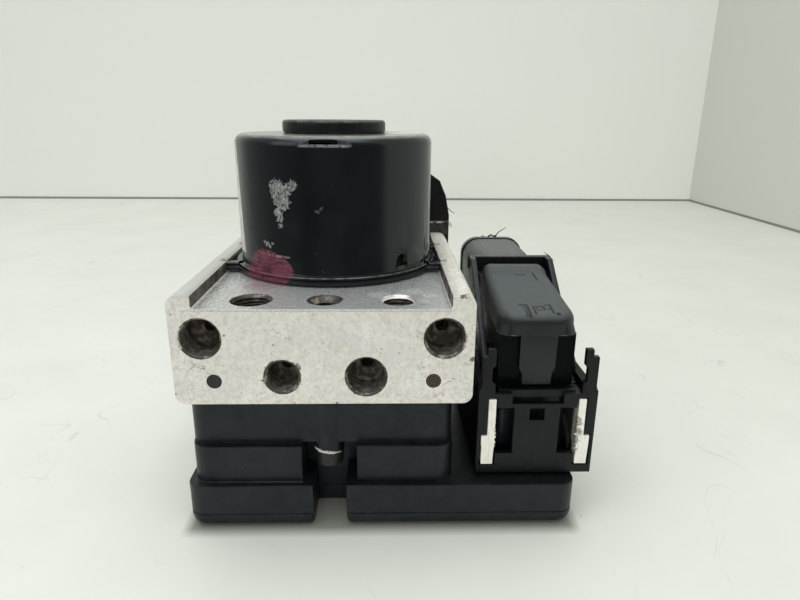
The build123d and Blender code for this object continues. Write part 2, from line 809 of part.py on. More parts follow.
holder_thickness = 1.6
brush_size = 4.6
brush_middle = (commutator_low + commutator_high) / 2
brush_start = commutator_radius + 0.05
brush_length = 7.5
box_end = brush_start + brush_length + 5.0
holder = ring(shaft_radius + 2.0, can_inner - 1.2, shield_top + 0.02, shield_top + holder_thickness)
holder -= rod(contact_radius + 0.2, (0, contact_back - motor_from_front, 0),
              (0, contact_back - motor_from_front, can_top))
brushes = []
brush_springs = []
for side in (-1, 1):
    box = span(tuple(sorted((side * (brush_start + 1.5), side * (box_end + 1.0)))),
               (-brush_size / 2 - 1.0, brush_size / 2 + 1.0),
               (shield_top + holder_thickness - 0.5, brush_middle + brush_size / 2 + 1.0))
    box -= span(tuple(sorted((0, side * box_end))),
                (-brush_size / 2 - 0.1, brush_size / 2 + 0.1),
                (brush_middle - brush_size / 2 - 0.1, brush_middle + brush_size / 2 + 0.1))
    holder += box
    brushes.append(span(tuple(sorted((side * brush_start, side * (brush_start + brush_length)))),
                        (-brush_size / 2, brush_size / 2),
                        (brush_middle - brush_size / 2, brush_middle + brush_size / 2)))
    brush_springs.append(spring(1.7, 0.3, 1.2, (side * (brush_start + brush_length), 0, brush_middle),
                                (side, 0, 0), box_end - brush_start - brush_length))
save("brush_holder", motor * holder)
save("carbon_brushes", motor * group(brushes))
save("brush_springs", motor * group(brush_springs))

contact = rod(contact_radius, (0, contact_back, board_top + 0.1),
              (0, contact_back, shield_top + holder_thickness + 1.0))
save("motor_contact", contact)


# ---- Control unit ----------------------------------------------------------------------------------
unit_length = block_length


def outline_prism(left, right, front_edge, rear_edge, low, high, corner):
    """Straight-sided body with rounded upright corners."""
    width = left + right
    length = rear_edge - front_edge
    middle = Pos((right - left) / 2, (front_edge + rear_edge) / 2, low)
    return middle * extrude(RectangleRounded(width, length, corner), high - low)


def notch(across, from_front, width, depth, low, high):
    """Recess let into the front or the rear edge for one fixing screw."""
    if from_front:
        return span((across - width / 2, across + width / 2), (-1, depth), (low, high))
    return span((across - width / 2, across + width / 2), (unit_length - depth, unit_length + 1), (low, high))


post_radius = 2.0
post_inset = 7.1
board_front = notch_depth + unit_wall + 0.5
board_rear = unit_length - notch_depth - unit_wall - 0.5
post_places = [(x, y) for x in (-base_left + post_inset, base_left - post_inset, base_right - post_inset)
               for y in (board_front + 2.5, board_rear - 2.5)]
notches = [(0.5, True), (-rear_notch_across, False), (rear_notch_across, False)]


def make_housing():
    """Moulded housing in three steps, with a coil bay above, a board bay below and the plug header."""
    base = outline_prism(base_left, base_right, 0, unit_length, cover_seam, base_top, unit_corner)
    middle = outline_prism(middle_left, middle_right, middle_set_back, unit_length - middle_set_back,
                           base_top - 1, middle_top, unit_corner)
    upper = outline_prism(upper_left, upper_right, upper_set_back, unit_length - upper_set_back,
                          middle_top - 1, 0, unit_corner)
    housing = base + middle + upper
    for across, from_front in notches:
        width = notch_middle_width
        housing -= notch(across, from_front, notch_width, notch_depth, cover_seam - 1, base_top + 0.01)
        housing -= notch(across, from_front, width, notch_depth, base_top, middle_top)

    coil_bay = span((-upper_left + unit_wall, upper_right - unit_wall),
                    (upper_set_back + unit_wall, unit_length - upper_set_back - unit_wall),
                    (base_top, 1))
    board_bay = outline_prism(base_left - unit_wall, base_right - unit_wall, unit_wall, unit_length - unit_wall,
                              cover_seam - 1, bay_ceiling, unit_corner - unit_wall)
    for across, from_front in notches:
        widest = notch_middle_width + 2 * unit_wall
        keep = notch(across, from_front, widest, notch_depth + unit_wall,
                     cover_seam - 2, middle_top + unit_wall)
        coil_bay -= keep
        board_bay -= keep
    for across, back in screw_places:
        keep = rod(boss_radius, (across, back, -boss_length), (across, back, 2))
        coil_bay -= keep
    housing -= coil_bay
    housing -= board_bay
    for across, back in screw_places:
        housing += rod(boss_radius, (across, back, -boss_length), (across, back, 0))
    for across, back in screw_places:
        housing -= rod(screw_radius + 0.3, (across, back, -boss_length - 1), (across, back, 1))

    shroud = outline_prism(header_half, header_half, header_front, header_rear, base_top - unit_wall,
                           header_top, 3.0)
    inside = outline_prism(header_half - header_wall, header_half - header_wall, header_front + header_wall,
                           header_rear - header_wall, base_top + unit_wall, header_top + 1, 3.0 - header_wall)
    shroud -= inside
    for side in (-1, 1):
        for back in (peg_front, peg_front + peg_pitch):
            shroud += rod(peg_radius, (side * (header_half - 1), back, peg_height),
                          (side * peg_reach, back, peg_height))
    housing += Pos(plug_across, 0, 0) * shroud
    for across, back in post_places:
        housing += rod(post_radius, (across, back, board_top), (across, back, bay_ceiling + 0.5))
    return housing


header_pins = []
socket_places = []
pins_start = (header_front + header_rear) / 2 - (pin_columns - 1) / 2 * pin_pitch_y
for row in range(pin_rows):
    for column in range(pin_columns):
        across = plug_across + (row - (pin_rows - 1) / 2) * pin_pitch_x
        back = pins_start + column * pin_pitch_y
        socket_places.append((across, back))
        header_pins.append(rod(pin_radius, (across, back, board_top + 0.05), (across, back, base_top + 14.0)))
pins = group(header_pins)
housing = make_housing()
for pin in header_pins:
    housing -= pin
for x, y in valve_places:
    for side in (-1, 1):
        pin_x = x + side * coil_pin_across
        housing -= rod(coil_pin_radius + coil_pin_clearance, (pin_x, y, bay_ceiling - 1), (pin_x, y, coil_bottom))
housing -= rod(contact_radius + 0.3, (0, contact_back, bay_ceiling - 1), (0, contact_back, 0))

gasket_outer = outline_prism(upper_left - 0.5, upper_right - 0.5, upper_set_back + 0.5,
                             unit_length - upper_set_back - 0.5, -1.0, 0, unit_corner - 0.5)
gasket_inner = outline_prism(upper_left - 0.5 - gasket_width, upper_right - 0.5 - gasket_width,
                             upper_set_back + 0.5 + gasket_width,
                             unit_length - upper_set_back - 0.5 - gasket_width, -2.0, 1,
                             unit_corner - 0.5 - gasket_width)
gasket = gasket_outer - gasket_inner
for across, back in screw_places:
    gasket -= rod(boss_radius, (across, back, -2), (across, back, 1))
housing -= gasket
save("control_housing", housing)
save("housing_gasket", group(gasket.solids()))
save("header_pins", pins)

cover = outline_prism(base_left, base_right, 0, unit_length, -unit_height, cover_seam, unit_corner)
cover = fillet(cover.faces().sort_by(Axis.Z)[0].edges(), cover_foot_radius)
cover_outline = cover
cover -= outline_prism(base_left - unit_wall, base_right - unit_wall, unit_wall, unit_length - unit_wall,
                       -unit_height + unit_wall, cover_seam + 1, unit_corner - unit_wall)
for across, from_front in notches:
    widest = notch_width + 2 * unit_wall
    cover += cover_outline & notch(across, from_front, widest, notch_depth + unit_wall,
                                   -unit_height + unit_wall - 0.5, cover_seam)
    cover -= notch(across, from_front, notch_width, notch_depth, -unit_height - 1, cover_seam + 1)
mouth_edges = [edge for edge in cover.edges().filter_by(Axis.Z) if abs(edge.center().Y) < 0.01
               and abs(abs(edge.center().X - notches[0][0]) - notch_width / 2) < 0.01]
cover = fillet(mouth_edges, notch_round)
save("control_cover", cover)

board = span((-base_left + unit_wall + 1, base_right - unit_wall - 1),
             (board_front, board_rear),
             (board_top - board_thickness, board_top))
save("circuit_board", board)
board_under = board_top - board_thickness
board_middle = ((base_right - base_left) / 2, (board_front + board_rear) / 2)
chip_places = [
    # across and back from the board's middle, width, length, height
    (-16.7, -8.5, 16.0, 16.0, 1.8),
    (4.8, -15.0, 11.0, 11.0, 1.8),
    (-40.7, -7.5, 12.0, 10.0, 2.0),
    (-41.7, 14.5, 10.0, 10.0, 3.5),
    (-25.7, 14.5, 10.0, 10.0, 3.5),
    (22.3, 9.5, 10.0, 12.0, 4.0),
]
capacitor_places = [(-4.7, 13.5), (6.3, 13.5)]
capacitor_radius = 4.0
capacitor_height = 4.4


def on_board(across, back, depth):
    """A place measured from the middle of the board's underside, down from it."""
    return (board_middle[0] + across, board_middle[1] + back, board_under - depth)


chips = [Pos(*on_board(x, y, height / 2)) * Box(width, length, height)
         for x, y, width, length, height in chip_places]
chips += [rod(capacitor_radius, on_board(x, y, 0), on_board(x, y, capacitor_height))
          for x, y in capacitor_places]
save("board_components", group(chips))

screws = []
for across, back in screw_places:
    shank = rod(screw_radius - 0.02, (across, back, -boss_length), (across, back, screw_grip))
    head = rod(screw_head_radius, (across, back, -boss_length - screw_head_height),
               (across, back, -boss_length))
    recess = Pos(across, back, -boss_length - screw_head_height - 0.01) * extrude(RegularPolygon(2.2, 6), 2.4)
    screws.append(shank + head - recess)
save("fixing_screws", group(screws))


# ---- Harness plug ----------------------------------------------------------------------------------
at_plug = Pos(plug_across, 0, 0)


def plate_outline():
    """Half outline of the plug's front plate, from the middle of its foot round to its top edge."""
    return [
        (0, plug_bottom),
        (plug_half, plug_bottom),
        (plug_half, 0.8),
        (plug_half - 0.7, 3.0),
        (plug_half - 0.7, 12.4),
        (15.6, 12.4),
        (15.6, 14.8),
        (13.4, 14.8),
        (13.4, 9.6),
        (14.3, 8.8),
        (14.3, 4.6),
        (13.2, 3.6),
        (13.2, 0.4),
        (7.8, 0.4),
        (7.8, -2.9),
        (0, -2.9),
    ]


def upright_plate(points, near, far):
    """Prism whose outline lies in the XZ plane, from one Y to another."""
    face = make_face(Polyline(*[(x, near, z) for x, z in points], close=True))
    return extrude(face, far - near, dir=(0, 1, 0))


slot_inner_face = cam_inner - cam_clearance
slot_outer_face = cam_inner + cam_thickness + cam_clearance
groove_outer = cam_nub_outer + cam_clearance
groove_top = cam_nub_top + cam_clearance
groove_bottom = cam_bottom - cam_clearance
plug_deck_low = header_top + 1.0
plug_deck_high = plug_deck_low + deck_thickness


def make_plug_half():
    """Right half of the plug's housing, about its own middle plane."""
    front = upright_plate(plate_outline(), plug_front, plug_front + plate_thickness)
    rear = upright_plate([(0, plug_bottom), (plug_half, plug_bottom), (plug_half, plug_wall_top),
                          (0, plug_wall_top)], plug_rear - plate_thickness, plug_rear)
    window = span((7.0, cam_inner), (plug_front - 1, plug_front + plate_thickness + 1), (-19.8, -4.2))
    half = front + rear
    half += span((slot_outer_face, plug_half), (plug_front, plug_rear), (plug_bottom, plug_wall_top))
    half += span((slot_inner_face, plug_half), (plug_front, plug_rear), (plug_bottom, groove_bottom))
    half += span((0, chamber_half), (plug_front + plate_thickness - 0.5, plug_rear),
                 (plug_deck_low, plug_deck_high))
    half += span((chamber_half - chamber_wall, chamber_half), (cover_front + 3, cover_rear),
                 (plug_deck_high - 0.5, cover_foot))
    half += span((0, chamber_half), (cover_front + 3, cover_front + 3 + chamber_wall),
                 (plug_deck_high - 0.5, cover_foot))
    half += span((0, chamber_half), (cover_rear - chamber_wall, cover_rear),
                 (plug_deck_high - 0.5, collar_bottom))
    half -= span((slot_inner_face, slot_outer_face), (plug_front - 1, plug_rear + 1),
                 (groove_bottom, cam_top + cam_clearance))
    half -= span((slot_inner_face, groove_outer), (plug_front - 1, plug_rear + 1), (groove_bottom, groove_top))
    half -= window
    half -= span((-1, 2.25), (plug_front - 1, plug_front + plate_thickness + 1), (-8.4, -4.4))
    half += rod(trunnion_radius, (chamber_half - 1, lever_back, lever_height),
                (lever_outer, lever_back, lever_height))
    return half


socket_radius = 1.0
plug_half_body = make_plug_half()
core_half = header_half - header_wall - core_clearance
core_front = header_front + header_wall + core_clearance
core_rear = header_rear - header_wall - core_clearance
core_low = base_top + 6.5
core_corner = 1.2
plug_core = outline_prism(core_half, core_half, core_front, core_rear, core_low,
                          plug_deck_low + 0.5, core_corner)
plug_body = at_plug * (plug_half_body + mirror(plug_half_body, about=Plane.YZ) + plug_core)
for x, y in socket_places:
    plug_body -= rod(socket_radius + 0.03, (x, y, core_low - 1), (x, y, plug_deck_high + 1))
save("plug_housing", plug_body)
socket_low = base_top + 7.0
socket_high = plug_deck_high + 1.5
sockets = [ring(pin_radius + 0.1, socket_radius, socket_low, socket_high, (x, y, 0)) for x, y in socket_places]
save("plug_terminals", group(sockets))

seal_band = outline_prism(header_half - header_wall - 0.05, header_half - header_wall - 0.05,
                          header_front + header_wall + 0.05, header_rear - header_wall - 0.05,
                          header_top - 6.0, header_top - 1.0, 3.0 - header_wall)
seal_band -= outline_prism(core_half, core_half, core_front, core_rear, header_top - 7, header_top, core_corner)
save("plug_seal", at_plug * seal_band)

# ---- Cam plates: slanted grooves ride on the header's pegs and draw the plug down ------------------
swing = math.radians(lever_opening / 2)
cam_travel = 2 * finger_radius * math.sin(swing)
groove_half = peg_radius + cam_clearance


def groove_cut(back):
    """Slanted groove that a peg follows, with its open leg down to the plate's lower edge."""
    start = (back, peg_height)
    end = (back - cam_travel, peg_height - plug_travel)
    length = math.hypot(start[0] - end[0], start[1] - end[1])
    nx = (start[1] - end[1]) / length * groove_half
    nz = (start[0] - end[0]) / length * groove_half
    slant = side_cut([
        (start[0] + nx, start[1] - nz),
        (start[0] - nx, start[1] + nz),
        (end[0] - nx, end[1] + nz),
        (end[0] + nx, end[1] - nz),
    ], cam_inner - 1, cam_nub_outer + 1)
    cut = slant + rod(groove_half, (cam_inner - 1, *start), (cam_nub_outer + 1, *start))
    cut += rod(groove_half, (cam_inner - 1, *end), (cam_nub_outer + 1, *end))
    cut += span((cam_inner - 1, cam_nub_outer + 1), (end[0] - groove_half, end[0] + groove_half),
                (cam_bottom - 1, end[1]))
    return cut


def make_cam():
    """Right cam plate about the plug's middle plane."""
    plate = span((cam_inner, cam_inner + cam_thickness), (plug_front, cam_rear), (cam_nub_top - 1, cam_top))
    plate += span((cam_inner, cam_nub_outer), (plug_front, cam_rear), (cam_nub_bottom, cam_nub_top))
    plate += span((cam_inner + 0.25, cam_lower_outer), (plug_front, cam_rear),
                  (cam_bottom, cam_nub_bottom + 0.5))
    for back in (peg_front, peg_front + peg_pitch):
        plate -= groove_cut(back)
    finger_back = lever_back - finger_radius * math.sin(swing)
    slot_half_width = finger_tip_radius + 0.6
    slot_bottom = lever_height - finger_radius - finger_tip_radius - 0.4
    plate -= span((cam_inner - 1, cam_nub_outer + 1),
                  (finger_back - slot_half_width, finger_back + slot_half_width), (slot_bottom, cam_top + 1))
    return plate


cam = make_cam()
save("cam_plate_right", at_plug * cam)
save("cam_plate_left", at_plug * mirror(cam, about=Plane.YZ))


# ---- Lever -----------------------------------------------------------------------------------------
def make_lever_arm():
    """Right arm with its hub, the finger that drives the cam plate and the bar's thick end."""
    arm = side_cut([
        (lever_back - 1.6, lever_height + 3.5),
        (bar_back - 4.0, bar_top),
        (bar_back + bar_thickness, bar_top),
        (bar_back + bar_thickness, bar_top - bar_height),
        (bar_back - 1.0, bar_top - bar_height - 1.0),
        (lever_back + 2.6, lever_height - 2.9),
    ], lever_inner, lever_outer)
    arm += rod(lever_hub_radius, (lever_inner, lever_back, lever_height),
               (lever_outer, lever_back, lever_height))
    tip = (lever_back - finger_radius * math.sin(swing), lever_height - finger_radius * math.cos(swing))
    side_y = math.cos(swing) * finger_half_width
    side_z = math.sin(swing) * finger_half_width
    finger_outer = cam_inner + cam_thickness
    arm += side_cut([
        (lever_back - side_y, lever_height + side_z),
        (lever_back + side_y, lever_height - side_z),
        (tip[0] + side_y, tip[1] - side_z),
        (tip[0] - side_y, tip[1] + side_z),
    ], lever_inner, finger_outer)
    arm += rod(finger_tip_radius, (lever_inner, *tip), (finger_outer, *tip))
    knob = (bar_back + bar_thickness / 2, bar_top - 2.4)
    arm += rod(2.4, (lever_inner, *knob), (lever_outer + 0.6, *knob))
    arm -= rod(trunnion_radius + running_clearance, (lever_inner - 1, lever_back, lever_height),
               (lever_outer + 1, lever_back, lever_height))
    return arm


arm = make_lever_arm()
lever = arm + mirror(arm, about=Plane.YZ)
lever += span((-lever_inner - 0.5, lever_inner + 0.5), (bar_back, bar_back + bar_thickness),
              (bar_top - bar_height, bar_top))
save("plug_lever", at_plug * lever)


# ---- Wire cover ------------------------------------------------------------------------------------
def make_wire_cover():
    """Hood over the wires, with a snap tongue in front and the cable outlet behind."""
    hood = side_cut([
        (cover_front, cover_foot),
        (cover_front, 24.3),
        (46.0, 28.0),
        (47.6, 29.3),
        (52.0, 29.3),
        (cover_rear, 23.6),
        (cover_rear, cover_foot),
    ], -cover_half, cover_half)
    plan = Polyline((-hood_left_front, cover_front), (hood_right, cover_front), (hood_right, cover_rear),
                    (-hood_left_rear, cover_rear), close=True)
    hood &= Pos(0, 0, cover_foot - 1) * extrude(make_face(plan), 20.0)
    sides = [edge for edge in hood.edges() if edge.center().Z > cover_foot + 1 and edge.center().Y < cover_rear - 1
             and abs(edge.center().X) > hood_left_rear - 0.6]
    brow = [edge for edge in hood.edges() if abs(edge.center().Y - cover_front) < 0.01
            and edge.center().Z > cover_foot + 5]
    hood = fillet(sides + brow, hood_round)
    hollow = side_cut([
        (cover_front + cover_wall, cover_foot - 1),
        (cover_front + cover_wall, 20.6),
        (11.6, 22.6),
        (46.6, 26.2),
        (51.4, 27.4),
        (cover_rear - cover_wall, 23.0),
        (cover_rear - cover_wall, cover_foot - 1),
    ], -hood_left_rear + 3.2, hood_right - 3.2)
    lower_hollow = span((-hood_left_rear + cover_wall, hood_right - cover_wall),
                        (cover_front + cover_wall, cover_rear - cover_wall), (cover_foot - 1, 20.6))
    tongue_top = cover_foot + 0.5
    tongue = upright_plate([(-5.7, tongue_top), (-5.5, 7.0), (-4.6, 5.0), (-4.5, 1.6), (4.5, 1.6), (4.6, 5.0),
                            (5.5, 7.0), (5.7, tongue_top)], cover_front + 1.0, cover_front + 2.7)
    low_top = bar_top - bar_height - 1.0
    neck_height = low_top - collar_bottom
    collar_height = collar_top - collar_bottom

    def tube(start, end, width, low, height, corner):
        face = Plane(origin=(0, start, low + height / 2), x_dir=(1, 0, 0), z_dir=(0, 1, 0))
        face *= RectangleRounded(width, height, corner)
        return extrude(face, end - start, dir=(0, 1, 0))

    inner_width = 2 * (cover_half - collar_wall)
    neck = tube(cover_rear, collar_start + 0.5, 2 * cover_half, collar_bottom, neck_height, 3.0)
    collar = tube(collar_start, collar_end, 2 * cover_half, collar_bottom, collar_height, collar_corner)
    rim = tube(collar_end - 3.0, collar_end, 2 * cover_half + 1.0, collar_bottom - 0.5, collar_height + 1.0,
               collar_corner)
    bore = tube(collar_start + collar_wall, collar_end + 1, inner_width, collar_bottom + collar_wall,
                collar_height - 2 * collar_wall, collar_corner - collar_wall)
    neck_bore = tube(cover_rear - cover_wall - 1, collar_start + collar_wall + 1, inner_width,
                     collar_bottom + collar_wall,
                     neck_height - 2 * collar_wall, 1.0)
    cover_piece = hood + neck + collar + rim
    cover_piece -= hollow
    cover_piece -= lower_hollow
    cover_piece += tongue
    cover_piece -= bore
    return cover_piece - neck_bore


save("wire_cover", at_plug * make_wire_cover())

wires = []
wire_pitch = 2 * wire_radius + 0.1
wire_low = collar_bottom + collar_wall + wire_radius + 0.1
for layer in range(3):
    count = 6 + layer
    for index in range(count):
        across = (index - (count - 1) / 2) * wire_pitch
        height = wire_low + layer * wire_pitch * 0.9
        end = collar_end - 3.0 - (index * 5 + layer * 3) % 7 * 0.8
        wires.append(rod(wire_radius, (across, collar_start - 5.0, height), (across, end, height)))
save("cut_wires", at_plug * group(wires))


# ---- Rear bracket ----------------------------------------------------------------------------------
bracket_points = [
    (bracket_left, bracket_foot + 24),
    (bracket_left + 12, bracket_foot),
    (bracket_right, bracket_foot),
    (bracket_right, 40.0),
    (bracket_right - 1.6, 48.2),
    (bracket_right - 4.2, 54.3),
    (bracket_right - 8.7, bracket_top),
    (bracket_left + 4, bracket_top),
    (bracket_left, bracket_top - 4),
]
bracket_near = block_length + 0.02
bracket = upright_plate(bracket_points, bracket_near, bracket_near + bracket_thickness)
bracket_hole = (27.0, 46.0)
for x, z, radius in ((*bracket_hole, bracket_hole_radius), (bracket_bolt_across, bracket_bolt_height, 3.4)):
    bracket -= rod(radius, (x, block_length - 1, z), (x, block_length + bracket_thickness + 2, z))
bracket -= rod(accumulator_cap_radius + 1.0, (accumulator_across, block_length - 1, pump_height),
               (accumulator_across, block_length + bracket_thickness + 2, pump_height))
save("rear_bracket", bracket)
bolt_seat = bracket_near + bracket_thickness
bolt = rod(bracket_bolt_radius - 0.02, (bracket_bolt_across, block_length - 12, bracket_bolt_height),
           (bracket_bolt_across, bolt_seat, bracket_bolt_height))
bolt_head = Plane(origin=(bracket_bolt_across, bolt_seat, bracket_bolt_height),
                  z_dir=(0, 1, 0)) * RegularPolygon(5.5, 6)
bolt += extrude(bolt_head, 4.0, dir=(0, 1, 0))
save("bracket_bolt", bolt)
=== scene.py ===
import json
import math
import random

import bmesh
import bpy
from mathutils import Matrix, Vector
from mathutils.bvhtree import BVHTree


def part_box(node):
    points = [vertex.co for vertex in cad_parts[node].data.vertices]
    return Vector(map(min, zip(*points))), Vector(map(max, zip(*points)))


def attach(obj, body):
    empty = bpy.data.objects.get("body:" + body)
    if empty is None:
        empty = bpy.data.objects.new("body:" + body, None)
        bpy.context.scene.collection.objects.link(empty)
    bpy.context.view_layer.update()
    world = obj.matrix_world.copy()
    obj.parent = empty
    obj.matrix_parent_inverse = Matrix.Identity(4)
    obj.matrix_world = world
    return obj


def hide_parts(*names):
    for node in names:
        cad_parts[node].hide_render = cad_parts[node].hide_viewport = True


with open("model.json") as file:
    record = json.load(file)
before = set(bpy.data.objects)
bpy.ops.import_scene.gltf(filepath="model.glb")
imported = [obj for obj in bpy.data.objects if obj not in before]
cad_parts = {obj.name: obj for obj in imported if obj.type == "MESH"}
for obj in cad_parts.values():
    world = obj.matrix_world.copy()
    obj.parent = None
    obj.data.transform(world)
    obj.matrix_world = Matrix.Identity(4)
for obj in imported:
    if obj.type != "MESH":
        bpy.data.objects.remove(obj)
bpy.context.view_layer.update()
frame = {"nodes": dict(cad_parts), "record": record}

# ---- Valve block ---------------------------------------------------------------------------------
# An extruded bar of aluminium alloy, sawn to length, milled out between two rails and drilled from
# every side. The sawn faces are etched to a satin grey; the cutter leaves the channel brighter, and
# the ports carry fluid stains. A small round breaks its outer edges.
mm = 0.001
block_low, block_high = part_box("valve_block")


def spot(across, back, up):
    """A place measured in millimetres from the middle of the block's front bottom edge."""
    return Vector((across * mm, block_low.y + back * mm, block_low.z + up * mm))


def up_at(up):
    """The same height in the part's own frame, in millimetres."""
    return spot(0, 0, up).z / mm


def back_at(back):
    """The same distance back in the part's own frame, in millimetres."""
    return spot(0, back, 0).y / mm


class Finish:
    """One material: its shader, and short calls that add a texture and wire it in."""

    def __init__(self, name, colour, roughness, metallic=0.0, specular=0.5, gloss_tint=(1, 1, 1)):
        self.material = bpy.data.materials.new(name)
        self.material.use_nodes = True
        self.tree = self.material.node_tree
        self.shader = self.tree.nodes["Principled BSDF"]
        self.shader.inputs["Base Color"].default_value = (*colour, 1)
        self.shader.inputs["Roughness"].default_value = roughness
        self.shader.inputs["Metallic"].default_value = metallic
        self.shader.inputs["Specular IOR Level"].default_value = specular
        self.shader.inputs["Specular Tint"].default_value = (*gloss_tint, 1)
        coordinates = self.tree.nodes.new("ShaderNodeTexCoord").outputs["Object"]
        self.place = self.vector_maths("SCALE", coordinates, scale=1 / mm)

    def link(self, source, target):
        """Wires a socket, or sets a plain value, on an input."""
        if isinstance(source, bpy.types.NodeSocket):
            self.tree.links.new(source, target)
        elif isinstance(source, (tuple, list)) and len(source) == 3 and target.type == "RGBA":
            target.default_value = (*source, 1)
        else:
            target.default_value = source

    def vector_maths(self, operation, first, second=None, scale=None):
        node = self.tree.nodes.new("ShaderNodeVectorMath")
        node.operation = operation
        self.link(first, node.inputs[0])
        if second is not None:
            self.link(second, node.inputs[1])
        if scale is not None:
            node.inputs["Scale"].default_value = scale
        return node.outputs["Value" if operation in ("LENGTH", "DISTANCE") else "Vector"]

    def maths(self, operation, first, second=0.0):
        node = self.tree.nodes.new("ShaderNodeMath")
        node.operation = operation
        node.use_clamp = operation in ("ADD", "MULTIPLY", "SUBTRACT", "MAXIMUM")
        self.link(first, node.inputs[0])
        self.link(second, node.inputs[1])
        return node.outputs[0]

    def noise(self, size, detail=3.0, stretch=(1, 1, 1), rough=0.55):
        """Cloudy pattern whose blotches are about size millimetres across."""
        place = self.vector_maths("MULTIPLY", self.place, tuple(1 / (size * s) for s in stretch))
        node = self.tree.nodes.new("ShaderNodeTexNoise")
        node.inputs["Scale"].default_value = 1.0
        node.inputs["Detail"].default_value = detail
        node.inputs["Roughness"].default_value = rough
        self.link(place, node.inputs["Vector"])
        return node.outputs["Fac"]

    def cells(self, size, stretch=(1, 1, 1), feature="F1"):
        """Distance pattern of a random cell layout, cells about size millimetres across."""
        place = self.vector_maths("MULTIPLY", self.place, tuple(1 / (size * s) for s in stretch))
        node = self.tree.nodes.new("ShaderNodeTexVoronoi")
        node.feature = feature
        node.inputs["Scale"].default_value = 1.0
        self.link(place, node.inputs["Vector"])
        return node.outputs["Distance"]

    def between(self, source, low, high, start=0.0, end=1.0):
        """Turns the stretch from low to high into the stretch from start to end, and clips it."""
        node = self.tree.nodes.new("ShaderNodeMapRange")
        node.clamp = True
        self.link(source, node.inputs["Value"])
        for socket, value in (("From Min", low), ("From Max", high), ("To Min", start), ("To Max", end)):
            node.inputs[socket].default_value = value
        return node.outputs["Result"]

    def near(self, centre, reach, soft, stretch=(1, 1, 1)):
        """One inside a round patch about a place, fading to nothing over its soft edge."""
        offset = self.vector_maths("SUBTRACT", self.place, tuple(centre / mm))
        offset = self.vector_maths("MULTIPLY", offset, tuple(1 / s for s in stretch))
        return self.between(self.vector_maths("LENGTH", offset), reach, reach + soft, 1.0, 0.0)

    def slab(self, axis, low, high, soft):
        """One between two heights along an axis, in the part's frame and millimetres."""
        node = self.tree.nodes.new("ShaderNodeSeparateXYZ")
        self.link(self.place, node.inputs[0])
        along = node.outputs[axis]
        return self.maths("MULTIPLY", self.between(along, low - soft, low),
                          self.between(along, high, high + soft, 1.0, 0.0))

    def mix(self, factor, first, second):
        """Blends two colours."""
        node = self.tree.nodes.new("ShaderNodeMix")
        node.data_type = "RGBA"
        self.link(factor, node.inputs["Factor"])
        self.link(first, node.inputs[6])
        self.link(second, node.inputs[7])
        return node.outputs[2]

    def colour(self, source):
        self.link(source, self.shader.inputs["Base Color"])

    def roughness(self, source):
        self.link(source, self.shader.inputs["Roughness"])

    def place_along(self, axis):
        """Millimetres along one axis of the part's frame."""
        node = self.tree.nodes.new("ShaderNodeSeparateXYZ")
        self.link(self.place, node.inputs[0])
        return node.outputs[axis]

    def maths_open(self, operation, first, second=0.0):
        """A sum or product that may leave the range from nought to one."""
        node = self.tree.nodes.new("ShaderNodeMath")
        node.operation = operation
        self.link(first, node.inputs[0])
        self.link(second, node.inputs[1])
        return node.outputs[0]

    def dabs(self, patches, soft, size, ragged):
        """One inside any of several round patches, their edges torn up by noise."""
        total = None
        for centre, reach in patches:
            offset = self.vector_maths("DISTANCE", self.place, tuple(centre / mm))
            inside = self.between(offset, reach - soft, reach + soft, 1.0, 0.0)
            total = inside if total is None else self.maths("MAXIMUM", total, inside)
        torn = self.maths_open("SUBTRACT", total, self.maths_open(
            "MULTIPLY", self.between(self.noise(size, 5, rough=0.7), 0.25, 0.75), ragged))
        return self.between(torn, 0.02, 0.14)

    def mix_value(self, factor, first, second):
        """Blends two plain values."""
        node = self.tree.nodes.new("ShaderNodeMix")
        node.data_type = "FLOAT"
        self.link(factor, node.inputs["Factor"])
        self.link(first, node.inputs[2])
        self.link(second, node.inputs[3])
        return node.outputs[0]

    def shader_value(self, name, source):
        self.link(source, self.shader.inputs[name])

    def bump(self, height, depth):
        """Raises the surface by up to depth millimetres; a second call adds to the first."""
        node = self.tree.nodes.new("ShaderNodeBump")
        node.inputs["Distance"].default_value = depth * mm
        self.link(height, node.inputs["Height"])
        old = self.shader.inputs["Normal"].links
        if old:
            self.link(old[0].from_socket, node.inputs["Normal"])
        self.link(node.outputs["Normal"], self.shader.inputs["Normal"])


def dress(piece, *materials):
    """Gives a piece its materials, in slot order."""
    piece.data.materials.clear()
    for material in materials:
        piece.data.materials.append(material)


def new_piece(name, mesh, body, materials, smooth_angle=32, outward=True):
    """Makes a piece from a finished bmesh, shades it and lets it ride on a body."""
    data = bpy.data.meshes.new(name)
    if outward:
        bmesh.ops.recalc_face_normals(mesh, faces=mesh.faces)
    mesh.to_mesh(data)
    mesh.free()
    piece = bpy.data.objects.new(name, data)
    bpy.context.scene.collection.objects.link(piece)
    data.shade_smooth()
    data.set_sharp_from_angle(angle=math.radians(smooth_angle))
    dress(piece, *materials)
    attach(piece, body)
    return piece


